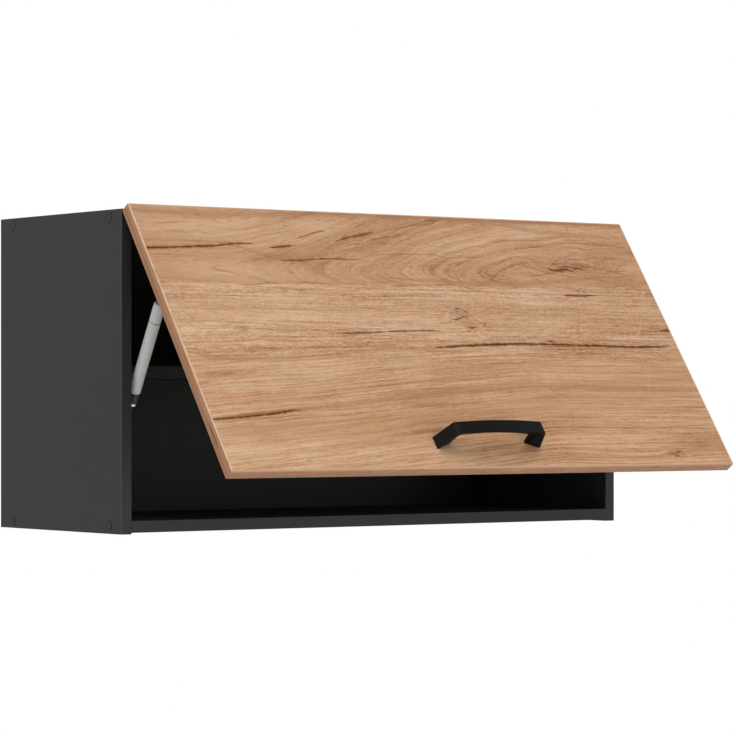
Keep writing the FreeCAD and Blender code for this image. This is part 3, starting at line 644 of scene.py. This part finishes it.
# Fine lines: thin, broken and nearly level, on the straight planks alone.
fine_lines_per_metre = 230.0
fine_wave_scale = (6.0, 0.0, 60.0)
fine_break_scale = (26.0, 0.0, 190.0)
fine_wave = about_zero(oak, stretched(oak, board, fine_wave_scale))
fine_count = plus(oak, times(oak, bent, fine_lines_per_metre), fine_wave, 3.0)
off_fine = gap(oak, maths(oak, "FRACT", fine_count), 0.5)
fine_lines = spread(oak, noise(oak, stretched(oak, board, fine_break_scale)), 0.38, 0.60, 0.0, 0.44)
fine_lines = times(oak, fine_lines, spread(oak, off_fine, 0.02, 0.20, 1.0, 0.0))
colour = mix_colours(oak, times(oak, fine_lines, lower_plank), colour, oak_brown)

# Cracks and brown bands of the print, each drawn as places along and down with a half width.
# One row may hold several that lie one after the other, with no width between them.
widest = 0.06
thinnest = 0.00001
ragged_depth = 0.0020
ragged_scale = (45.0, 20.0, 0.0)
uneven_scale = (120.0, 40.0, 0.0)
ragged = about_zero(oak, stretched(oak, sheet, ragged_scale), 3.0, 0.6)
ragged_down = plus(oak, down, ragged, ragged_depth)
uneven = spread(oak, noise(oak, stretched(oak, sheet, uneven_scale)), 0.3, 0.7, 0.6, 1.3)
ends = [("From Min", -decor_width / 2), ("From Max", decor_width / 2)]
share_along = add_node(oak, "MapRange", ("Value", along), *ends).outputs[0]


def drawn_curve(points, full):
    """A value that follows a curve through listed points along the board, given as shares."""
    curve = add_node(oak, "FloatCurve", ("Value", share_along))
    curve.mapping.extend = "HORIZONTAL"
    line = curve.mapping.curves[0]
    line.points[0].location = points[0]
    line.points[1].location = points[-1]
    for place in points[1:-1]:
        line.points.new(*place)
    for point in line.points:
        point.handle_type = "AUTO_CLAMPED"
    curve.mapping.update()
    return times(oak, curve.outputs["Value"], full)


def drawn_line(points):
    """How far each place lies from the middle of a drawn line, where one is on its rim."""
    shares = [(place / decor_width + 0.5, level, half) for place, level, half in points]
    middle = drawn_curve([(place, level / decor_drop) for place, level, half in shares], decor_drop)
    width = drawn_curve([(place, half / widest) for place, level, half in shares], widest)
    half_width = maths(oak, "ADD", times(oak, width, uneven), thinnest)
    return maths(oak, "DIVIDE", gap(oak, ragged_down, middle), half_width)


bands = [
    ([(-0.40, 0.165, 0.050), (-0.20, 0.165, 0.048), (0.10, 0.160, 0.045),
      (0.40, 0.155, 0.030)], 0.30, oak_light),
    ([(-0.40, 0.345, 0.020), (-0.15, 0.340, 0.040), (0.15, 0.300, 0.060),
      (0.40, 0.260, 0.060)], 0.36, oak_middle),
    ([(-0.40, 0.010, 0.011), (-0.30, 0.013, 0.013), (-0.10, 0.005, 0.007),
      (0.40, 0.004, 0.008)], 0.48, oak_brown),
    ([(-0.40, 0.058, 0.004), (-0.30, 0.056, 0.004), (-0.19, 0.080, 0.009), (-0.09, 0.050, 0.012),
      (0.02, 0.018, 0.010), (0.09, 0.006, 0.006), (0.40, 0.004, 0.004)], 0.42, oak_brown),
    ([(-0.20, 0.083, 0.0), (-0.10, 0.066, 0.006), (0.02, 0.032, 0.010), (0.14, 0.009, 0.006),
      (0.26, 0.021, 0.008), (0.34, 0.025, 0.006), (0.40, 0.027, 0.0)], 0.36, oak_brown),
    ([(-0.07, 0.104, 0.0), (0.04, 0.110, 0.007), (0.13, 0.111, 0.009), (0.24, 0.104, 0.009),
      (0.31, 0.097, 0.006), (0.39, 0.090, 0.0)], 0.46, oak_brown),
    ([(-0.40, 0.226, 0.004), (-0.36, 0.234, 0.007), (-0.29, 0.238, 0.008), (-0.20, 0.232, 0.005),
      (-0.08, 0.219, 0.007), (0.0, 0.222, 0.005), (0.06, 0.222, 0.0), (0.130, 0.275, 0.0),
      (0.140, 0.279, 0.002), (0.152, 0.288, 0.003), (0.168, 0.295, 0.002),
      (0.185, 0.307, 0.0)], 0.36, oak_brown),
    ([(-0.40, 0.326, 0.002), (-0.28, 0.314, 0.004), (-0.20, 0.305, 0.008), (-0.06, 0.291, 0.010),
      (0.02, 0.285, 0.012), (0.12, 0.276, 0.010), (0.28, 0.280, 0.008),
      (0.40, 0.280, 0.006)], 0.46, oak_brown),
    ([(0.085, 0.222, 0.0), (0.095, 0.233, 0.004), (0.110, 0.247, 0.0045), (0.127, 0.259, 0.004),
      (0.142, 0.268, 0.0), (0.148, 0.345, 0.0), (0.153, 0.340, 0.008), (0.159, 0.325, 0.008),
      (0.164, 0.313, 0.006), (0.168, 0.306, 0.0), (0.188, 0.220, 0.0), (0.192, 0.226, 0.005),
      (0.201, 0.234, 0.006), (0.207, 0.247, 0.006), (0.211, 0.255, 0.0)], 0.22, oak_brown),
    ([(-0.103, 0.064, 0.0), (-0.087, 0.0555, 0.0012), (-0.065, 0.0513, 0.0018), (-0.045, 0.0451, 0.0016),
      (-0.028, 0.0418, 0.0022), (-0.010, 0.0377, 0.0018), (0.017, 0.0319, 0.0012), (0.027, 0.0294, 0.0),
      (0.052, 0.0106, 0.0), (0.060, 0.0092, 0.0018), (0.072, 0.0088, 0.0020), (0.088, 0.0090, 0.0),
      (0.158, 0.0573, 0.0), (0.209, 0.0493, 0.0016), (0.261, 0.0412, 0.0014), (0.311, 0.0378, 0.0016),
      (0.375, 0.0418, 0.0014), (0.40, 0.043, 0.0)], 0.50, oak_umber),
    ([(-0.050, 0.069, 0.0), (-0.026, 0.068, 0.0012), (0.010, 0.0662, 0.0014), (0.037, 0.0659, 0.0012),
      (0.068, 0.0696, 0.0014), (0.105, 0.0684, 0.0012), (0.150, 0.0675, 0.0), (0.232, 0.081, 0.0),
      (0.237, 0.0793, 0.0012), (0.245, 0.0757, 0.0014), (0.269, 0.0741, 0.0014), (0.280, 0.075, 0.0),
      (0.300, 0.079, 0.0), (0.308, 0.0782, 0.0014), (0.316, 0.0786, 0.0016), (0.321, 0.0814, 0.0012),
      (0.333, 0.0781, 0.0014), (0.342, 0.0755, 0.0)], 0.55, oak_umber),
    ([(-0.027, 0.0329, 0.0), (-0.012, 0.0282, 0.0012), (0.006, 0.0241, 0.0014), (0.029, 0.0191, 0.0014),
      (0.063, 0.0136, 0.0012), (0.090, 0.0083, 0.0), (0.116, 0.1125, 0.0), (0.122, 0.1075, 0.0022),
      (0.131, 0.1010, 0.0026), (0.150, 0.0884, 0.0022), (0.179, 0.0782, 0.0016), (0.200, 0.0745, 0.0012),
      (0.215, 0.0735, 0.0), (0.270, 0.067, 0.0), (0.276, 0.0668, 0.0016), (0.304, 0.0659, 0.0022),
      (0.320, 0.0629, 0.0018), (0.345, 0.0627, 0.0018), (0.383, 0.062, 0.0)], 0.42, oak_umber),
    ([(-0.003, 0.0463, 0.0), (0.009, 0.0438, 0.0014), (0.023, 0.0392, 0.0014), (0.035, 0.036, 0.0016),
      (0.058, 0.0303, 0.0), (0.067, 0.096, 0.0), (0.071, 0.106, 0.006), (0.076, 0.118, 0.004),
      (0.091, 0.122, 0.0018), (0.105, 0.123, 0.0), (0.196, 0.0975, 0.0), (0.204, 0.096, 0.0016),
      (0.237, 0.0904, 0.0018), (0.290, 0.081, 0.0014), (0.300, 0.079, 0.0)], 0.42, oak_umber),
]
for points, strength, tint in bands:
    cover = spread(oak, drawn_line(points), 0.0, 1.0, strength, 0.0)
    colour = mix_colours(oak, cover, colour, tint)

cracks = [
    ([(-0.40, 0.070, 0.0021), (-0.349, 0.067, 0.0020), (-0.30, 0.0635, 0.0018), (-0.245, 0.058, 0.0012),
      (-0.224, 0.058, 0.0), (-0.216, 0.063, 0.0), (-0.199, 0.062, 0.0018), (-0.183, 0.060, 0.0016),
      (-0.166, 0.058, 0.0), (0.030, 0.1695, 0.0), (0.035, 0.1722, 0.0014),
      (0.040, 0.1707, 0.0016), (0.046, 0.1685, 0.0006), (0.052, 0.1658, 0.0018), (0.057, 0.1663, 0.0017),
      (0.061, 0.1645, 0.0), (0.232, 0.1287, 0.0), (0.245, 0.1276, 0.0016), (0.266, 0.1276, 0.0020),
      (0.285, 0.1268, 0.0012), (0.302, 0.1262, 0.0)], 0.90),
    ([(-0.205, 0.083, 0.0), (-0.186, 0.083, 0.0012), (-0.151, 0.080, 0.0010), (-0.119, 0.078, 0.0012),
      (-0.088, 0.078, 0.0006), (-0.07, 0.078, 0.0), (0.029, 0.1615, 0.0), (0.034, 0.1600, 0.0008),
      (0.039, 0.157, 0.0003), (0.0465, 0.1530, 0.0016), (0.051, 0.153, 0.0003), (0.056, 0.1560, 0.0008),
      (0.061, 0.1588, 0.0008), (0.065, 0.161, 0.0), (0.228, 0.0825, 0.0), (0.234, 0.0841, 0.0014),
      (0.242, 0.0862, 0.0024), (0.253, 0.0847, 0.0026), (0.263, 0.0834, 0.0020), (0.271, 0.0868, 0.0014),
      (0.277, 0.088, 0.0)], 0.78),
    ([(-0.165, 0.196, 0.0), (-0.15, 0.196, 0.0012), (-0.122, 0.195, 0.0014), (-0.087, 0.193, 0.0012),
      (-0.082, 0.1925, 0.0003), (-0.077, 0.192, 0.0013), (-0.048, 0.191, 0.0014), (-0.016, 0.190, 0.0013),
      (0.012, 0.190, 0.0), (0.050, 0.181, 0.0), (0.0555, 0.1843, 0.0015), (0.0605, 0.1838, 0.0016),
      (0.064, 0.182, 0.0), (0.291, 0.3844, 0.0), (0.297, 0.385, 0.0007), (0.3025, 0.3856, 0.0014),
      (0.3075, 0.383, 0.0010), (0.313, 0.3811, 0.0007), (0.3175, 0.3806, 0.0014), (0.321, 0.3824, 0.0),
      (0.362, 0.1845, 0.0), (0.376, 0.1842, 0.0008), (0.388, 0.1832, 0.0014),
      (0.394, 0.1826, 0.0026), (0.40, 0.1873, 0.0014)], 0.78),
    ([(-0.021, 0.2172, 0.0), (-0.006, 0.2160, 0.0014), (0.031, 0.2133, 0.0020), (0.067, 0.2115, 0.0025),
      (0.124, 0.2092, 0.0025), (0.150, 0.2090, 0.0018), (0.176, 0.2092, 0.0020), (0.204, 0.2096, 0.0018),
      (0.247, 0.2104, 0.0020), (0.284, 0.211, 0.0016), (0.314, 0.212, 0.0022), (0.340, 0.2115, 0.0018),
      (0.366, 0.211, 0.0014), (0.392, 0.209, 0.0)], 0.94),
    ([(-0.40, 0.327, 0.0014), (-0.348, 0.323, 0.0016), (-0.30, 0.318, 0.0017), (-0.275, 0.314, 0.0013),
      (-0.260, 0.313, 0.0), (0.173, 0.2046, 0.0), (0.178, 0.2038, 0.0018), (0.182, 0.2052, 0.0010),
      (0.186, 0.2036, 0.0), (0.300, 0.391, 0.0), (0.3068, 0.3882, 0.0011), (0.312, 0.392, 0.0)], 0.90),
    ([(-0.17, 0.049, 0.0), (-0.150, 0.0425, 0.0010), (-0.118, 0.0335, 0.0007), (-0.112, 0.033, 0.0),
      (-0.110, 0.0505, 0.0), (-0.096, 0.0471, 0.0016), (-0.084, 0.0432, 0.0022), (-0.067, 0.0392, 0.0024),
      (-0.052, 0.0359, 0.0024), (-0.040, 0.0328, 0.0012), (-0.034, 0.0315, 0.0), (0.254, 0.0797, 0.0),
      (0.260, 0.0791, 0.0014), (0.268, 0.0789, 0.0020), (0.273, 0.0793, 0.0012), (0.277, 0.0816, 0.0016),
      (0.285, 0.0813, 0.0022), (0.291, 0.0835, 0.0012), (0.296, 0.0848, 0.0)], 0.66),
]
dark = 0.0
brown_rim = 0.0
for points, strength in cracks:
    off_crack = drawn_line(points)
    dark = maths(oak, "MAXIMUM", spread(oak, off_crack, 0.25, 1.0, strength, 0.0), dark)
    brown_rim = maths(oak, "MAXIMUM", spread(oak, off_crack, 0.7, 2.2, 0.55 * strength, 0.0), brown_rim)
in_knot = spread(oak, knot_core, 0.32, 0.50)
dashes = times(oak, in_knot, spread(oak, scribble, 0.44, 0.54, 1.0, 0.0))
dark = times(oak, dark, maths(oak, "SUBTRACT", 1.0, dashes))
colour = mix_colours(oak, brown_rim, colour, oak_rust)
colour = mix_colours(oak, dark, colour, oak_dark)

# Rosier spots lie all over the print, and it grows a little warmer towards the lower edge.
rosy_tint = (1.02, 0.945, 0.955)
warm_tint = (1.0, 0.96, 0.88)
rosy_scale = (24.0, 0.0, 70.0)
warm_from = 0.10
warm_full = 0.40
rosy = spread(oak, noise(oak, stretched(oak, board, rosy_scale)), 0.42, 0.66, 0.0, 0.7)
colour = mix_colours(oak, rosy, colour, rosy_tint, blend="MULTIPLY")
warm = spread(oak, down, warm_from, warm_full, 0.0, 0.6)
colour = mix_colours(oak, warm, colour, warm_tint, blend="MULTIPLY")
results = oak.nodes.new("NodeGroupOutput").inputs
oak.links.new(colour, results["Color"])
oak.links.new(plus(oak, rough, pore_mask, -0.35), results["Height"])

oak_board, tree, shader = new_material("oak_board")
decor = add_node(tree, "Group", node_tree=oak).outputs
tree.links.new(decor["Color"], shader.inputs["Base Color"])
tree.links.new(spread(tree, decor["Height"], -0.6, 0.3, 0.66, 0.50), shader.inputs["Roughness"])
emboss(tree, shader, decor["Height"], strength=0.4, depth=0.0003)
shader.inputs["Specular IOR Level"].default_value = 0.12
finish_with(oak_board, "flap_panel")

# Flap edging: plastic strip with a printed oak grain that runs along it, glued to all four edges.
# The print has a brown line on the upright strips and brown spots on the level ones.
# The arrises are rounded over, the rear arris of the side strips is paler, their front arris carries a
# painted highlight broken along its length, and the left strip has a short split low down.
edge_light = (0.530, 0.284, 0.152)
edge_brown = (0.330, 0.150, 0.077)
edge_pale = (0.700, 0.470, 0.300)
flap_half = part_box("flap_panel")[1].x
flap_front = min(corner.y for corner in shut_rim)
flap_thick = max(corner.y for corner in shut_rim) - flap_front
joint_room = 0.0001
level_scale = (14.0, 700.0, 500.0)
upright_scale = (500.0, 700.0, 14.0)
spot_scale = (70.0, 150.0, 0.0)
line_depth = 0.0095
line_core = 0.0006
line_rim = 0.0026
arris_width = 0.0022
split_depth = 0.0065
split_down = 0.345
split_core = 0.010
split_end = 0.024
split_half_width = 0.0014
lap_scale = (30.0, 0.0, 0.0)
lap_wander = 0.0016
lap_core = 0.0016
lap_rim = 0.0026
oak_edging, tree, shader = new_material("oak_edging")
edge_along, edge_through, edge_down = closed_place(tree)
strip_place = at(tree, edge_along, edge_through, edge_down)
behind_front = maths(tree, "SUBTRACT", edge_through, flap_front)
upright = maths(tree, "GREATER_THAN", maths(tree, "ABSOLUTE", edge_along), flap_half - joint_room)
level = maths(tree, "SUBTRACT", 1.0, upright)

level_grain = noise(tree, stretched(tree, strip_place, level_scale), detail=3.0, roughness=0.6)
upright_grain = noise(tree, stretched(tree, strip_place, upright_scale), detail=3.0, roughness=0.6)
strip_grain = mix_values(tree, upright, level_grain, upright_grain)
rear_shade = spread(tree, behind_front, 0.004, 0.012, 1.0, 0.66)
strip_tone = times(tree, spread(tree, strip_grain, 0.25, 0.70), rear_shade)
strip = mix_colours(tree, strip_tone, edge_brown, edge_light)

spots = noise(tree, stretched(tree, strip_place, spot_scale), detail=3.0, roughness=0.6)
spots = times(tree, spread(tree, spots, 0.50, 0.68, 0.0, 0.6), level)
strip = mix_colours(tree, spots, strip, edge_brown)
strip_line = spread(tree, gap(tree, behind_front, line_depth), line_core, line_rim, 0.55, 0.0)
line_breaks = spread(tree, noise(tree, at(tree, times(tree, edge_down, 14.0))), 0.35, 0.6)
strip_line = times(tree, times(tree, strip_line, upright), line_breaks)
strip = mix_colours(tree, strip_line, strip, edge_brown)

rear_arris = spread(tree, behind_front, flap_thick - arris_width, flap_thick - 0.0004, 0.0, 0.6)
strip = mix_colours(tree, times(tree, rear_arris, upright), strip, edge_pale)
on_left = maths(tree, "LESS_THAN", edge_along, 0.0)
split_half = spread(tree, gap(tree, edge_down, split_down), split_core, split_end, split_half_width, 0.0)
split_half = times(tree, times(tree, split_half, upright), on_left)
split = maths(tree, "LESS_THAN", gap(tree, behind_front, split_depth), split_half)
strip = mix_colours(tree, times(tree, split, 0.75), strip, oak_umber)
# Painted highlight: a pale, broken line along the front arris of the side strips, where the rounding catches
# light.
front_arris_highlight = spread(tree, behind_front, 0.0002, 0.0012, 1.0, 0.0)
front_highlight_breaks = spread(tree, noise(tree, at(tree, times(tree, edge_down, 60.0))), 0.3, 0.6, 0.45, 0.9)
strip = mix_colours(tree, times(tree, times(tree, front_arris_highlight, upright), front_highlight_breaks), strip, edge_pale)

# On the level strips the pale face of the flap laps over the arris with a wavy rim.
lap_wave = about_zero(tree, stretched(tree, strip_place, lap_scale))
lap = spread(tree, plus(tree, behind_front, lap_wave, lap_wander), lap_core, lap_rim, 0.85, 0.0)
strip = mix_colours(tree, times(tree, lap, level), strip, oak_light)
tree.links.new(strip, shader.inputs["Base Color"])
tree.links.new(spread(tree, strip_grain, 0.3, 0.7, 0.58, 0.48), shader.inputs["Roughness"])
emboss(tree, shader, strip_grain, strength=0.25, depth=0.0001)
shader.inputs["Specular IOR Level"].default_value = 0.25
finish_with(oak_edging, "flap_edge_bands")

# Bumpers: soft pale dots of clear rubber, cast as low domes with a flat sticky side.
# They are stuck on the back of the flap to soften its closing.
bumper_light = (0.62, 0.62, 0.60)
bumper_dark = (0.55, 0.55, 0.53)
bumper_height = 0.0027
bumper_rubber = gritty_finish(
    "bumper_rubber", bumper_light, bumper_dark, grain=300.0, roughness=(0.3, 0.4), depth=0.00002
)
bumper = rounded_disc(radius=0.005, height=bumper_height, crown=0.0022, sides=40, steps=6)
bpy.ops.object.mode_set(mode="OBJECT")
copies_on(bumper, "flap_bumpers", flap_inward, bumper_height, bumper_rubber, "flap")

# Handle: a cast bow with flared feet, sprayed matt black, with painted light that makes its shaded feet
# greyer.
# Two machine screws from behind the flap hold it.
black_light = (0.0062, 0.0058, 0.0062)
black_dark = (0.0050, 0.0047, 0.0050)
# The greyer foot colour is painted light that lifts the shade on the feet.
foot_painted_light = (0.0125, 0.0115, 0.0125)
foot_length = 0.0165
foot_blend = 0.0015
handle_screw_head = 0.0022
handle_low, handle_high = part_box("handle")
handle_middle = (handle_low.x + handle_high.x) / 2
bar_half = (handle_high.x - handle_low.x) / 2 - foot_length
handle_black = gritty_finish(
    "black_coat", black_light, black_dark, grain=2600.0, roughness=(0.40, 0.52), depth=0.00004, sheen=0.04
)
tree = handle_black.node_tree
# Painted light: the feet get less light than the bar, so they are painted greyer to lift their shade.
from_middle = gap(tree, axes_of(tree, object_place(tree))["X"], handle_middle)
foot_light_share = spread(tree, from_middle, bar_half - foot_blend, bar_half + foot_blend)
tint_over(handle_black, foot_light_share, foot_painted_light)
finish_with(handle_black, "handle")
handle_screw = cross_screw(
    radius=0.004, height=handle_screw_head, crown=0.0014, shank=0.002, length=0.025, recess=0.0014
)
copies_on(handle_screw, "handle_screws", flap_inward, handle_screw_head, zinc, "flap")

# Gas struts: painted steel tubes with black nylon ends and polished rods, one on each side.
# The eye turns on the flap bracket's stud and the foot on the stud of the plate on the side board.
# A dark seam shows where the cap is pressed on the tube.
grey_light = (0.62, 0.63, 0.62)
grey_dark = (0.56, 0.57, 0.56)
grey_seam = (0.10, 0.10, 0.10)
nylon_light = (0.020, 0.020, 0.021)
nylon_dark = (0.015, 0.015, 0.016)
rod_light = (0.64, 0.64, 0.63)
rod_dark = (0.58, 0.58, 0.57)
rightward = (1.0, 0.0, 0.0)
seam_core = 0.0002
seam_rim = 0.0009
strut_grey = gritty_finish(
    "strut_grey", grey_light, grey_dark, grain=800.0, roughness=(0.32, 0.42), depth=0.00002
)
strut_black = gritty_finish(
    "strut_nylon", nylon_light, nylon_dark, grain=1600.0, roughness=(0.42, 0.55), depth=0.00003
)
rod_steel = gritty_finish(
    "polished_rod", rod_light, rod_dark, grain=300.0, roughness=(0.12, 0.20), depth=0.000003, metallic=1.0
)
slide = Vector(joints["left_strut_slide"]["axis"])
tube_start = min(slide.dot(corner.co) for corner in nodes["strut_tube_left"].data.vertices)
tree = strut_grey.node_tree
values = [(0, object_place(tree)), (1, slide)]
down_strut = add_node(tree, "VectorMath", *values, operation="DOT_PRODUCT").outputs["Value"]
seam_share = spread(tree, gap(tree, down_strut, tube_start), seam_core, seam_rim, 0.75, 0.0)
tint_over(strut_grey, seam_share, grey_seam)
for side in ("left", "right"):
    finish_with(strut_grey, "strut_cap_" + side, "strut_tube_" + side)
    finish_with(strut_black, "strut_eye_" + side, "strut_collar_" + side, "strut_foot_" + side)
    finish_with(rod_steel, "strut_ring_" + side, "strut_rod_" + side)
    finish_with(zinc, "strut_wall_bracket_" + side, "strut_flap_bracket_" + side)
copies_on(small_screw(), "flap_bracket_screws", flap_inward, small_head, zinc, "flap")
copies_on(small_screw(), "wall_bracket_screws", rightward, small_head, zinc, "carcass")

# Stage: a pale floor well below the hanging cabinet, white surroundings and soft lamps.
# The floor fades into the white towards its rim, and it is clear when seen from below.
floor_level = -1.20
floor_size = 5.0
floor_pale = (0.86, 0.86, 0.86, 1.0)
fade_start = 0.6
fade_end = floor_size * 0.48
ambient = 0.45
camera_place = (-2.501, -3.696, -0.2049)
camera_turn = math.radians(-36.13)


def seen_rays(tree):
    """One where the camera, a gloss or a clear piece looks, and zero for the light itself."""
    rays = tree.nodes.new("ShaderNodeLightPath").outputs
    looked = maths(tree, "MAXIMUM", rays["Is Camera Ray"], rays["Is Glossy Ray"])
    return maths(tree, "MAXIMUM", looked, rays["Is Transmission Ray"])


bpy.ops.mesh.primitive_plane_add(size=floor_size, location=(0.0, 0.0, floor_level))
floor = bpy.context.object
floor.name = "floor"
floor_paint, tree, shader = new_material("floor_paint")
shader.inputs["Base Color"].default_value = floor_pale
shader.inputs["Roughness"].default_value = 0.8
from_middle = add_node(tree, "VectorMath", (0, object_place(tree)), operation="LENGTH").outputs["Value"]
faded = spread(tree, from_middle, fade_start, fade_end, 0.45, 1.0)
white_share = times(tree, seen_rays(tree), faded)
white = tree.nodes.new("ShaderNodeEmission").outputs[0]
painted = add_node(tree, "MixShader", (0, white_share), (1, shader.outputs[0]), (2, white)).outputs[0]
clear = tree.nodes.new("ShaderNodeBsdfTransparent").outputs[0]
behind = tree.nodes.new("ShaderNodeNewGeometry").outputs["Backfacing"]
one_sided = add_node(tree, "MixShader", (0, behind), (1, painted), (2, clear)).outputs[0]
tree.links.new(one_sided, tree.nodes["Material Output"].inputs["Surface"])
floor.data.materials.append(floor_paint)

world = bpy.data.worlds.new("studio")
bpy.context.scene.world = world
world.use_nodes = True
tree = world.node_tree
tree.nodes.clear()
strength = plus(tree, ambient, seen_rays(tree), 1.0 - ambient)
sky = add_node(tree, "Background", ("Color", (1.0, 1.0, 1.0, 1.0)), ("Strength", strength))
tree.links.new(sky.outputs[0], tree.nodes.new("ShaderNodeOutputWorld").inputs["Surface"])


def softbox(name, place, aim, size, watts):
    """A square lamp that points at a place on the cabinet."""
    bpy.ops.object.light_add(type="AREA", location=place)
    lamp = bpy.context.object
    lamp.name = name
    lamp.data.size = size
    lamp.data.energy = watts
    toward = [end - start for start, end in zip(place, aim)]
    lean = math.atan2(math.hypot(toward[0], toward[1]), -toward[2])
    lamp.rotation_euler = (lean, 0.0, math.atan2(-toward[0], toward[1]))


softbox("key", place=(-0.6, -2.6, 2.6), aim=(0.0, -0.4, -0.15), size=3.0, watts=77.0)
softbox("side", place=(-2.8, -0.9, 0.7), aim=(-0.4, -0.2, -0.15), size=1.4, watts=10.4)
softbox("fill", place=(0.9, -2.6, -0.62), aim=(0.0, -0.3, -0.2), size=1.2, watts=8.0)

bpy.ops.object.camera_add(location=camera_place, rotation=(math.radians(90.0), 0.0, camera_turn))
camera = bpy.context.object
camera.name = "camera"
camera.data.lens = 157.26
camera.data.sensor_width = 36.0
camera.data.shift_y = 0.0455
bpy.context.scene.camera = camera
bpy.context.scene.view_settings.view_transform = "Standard"
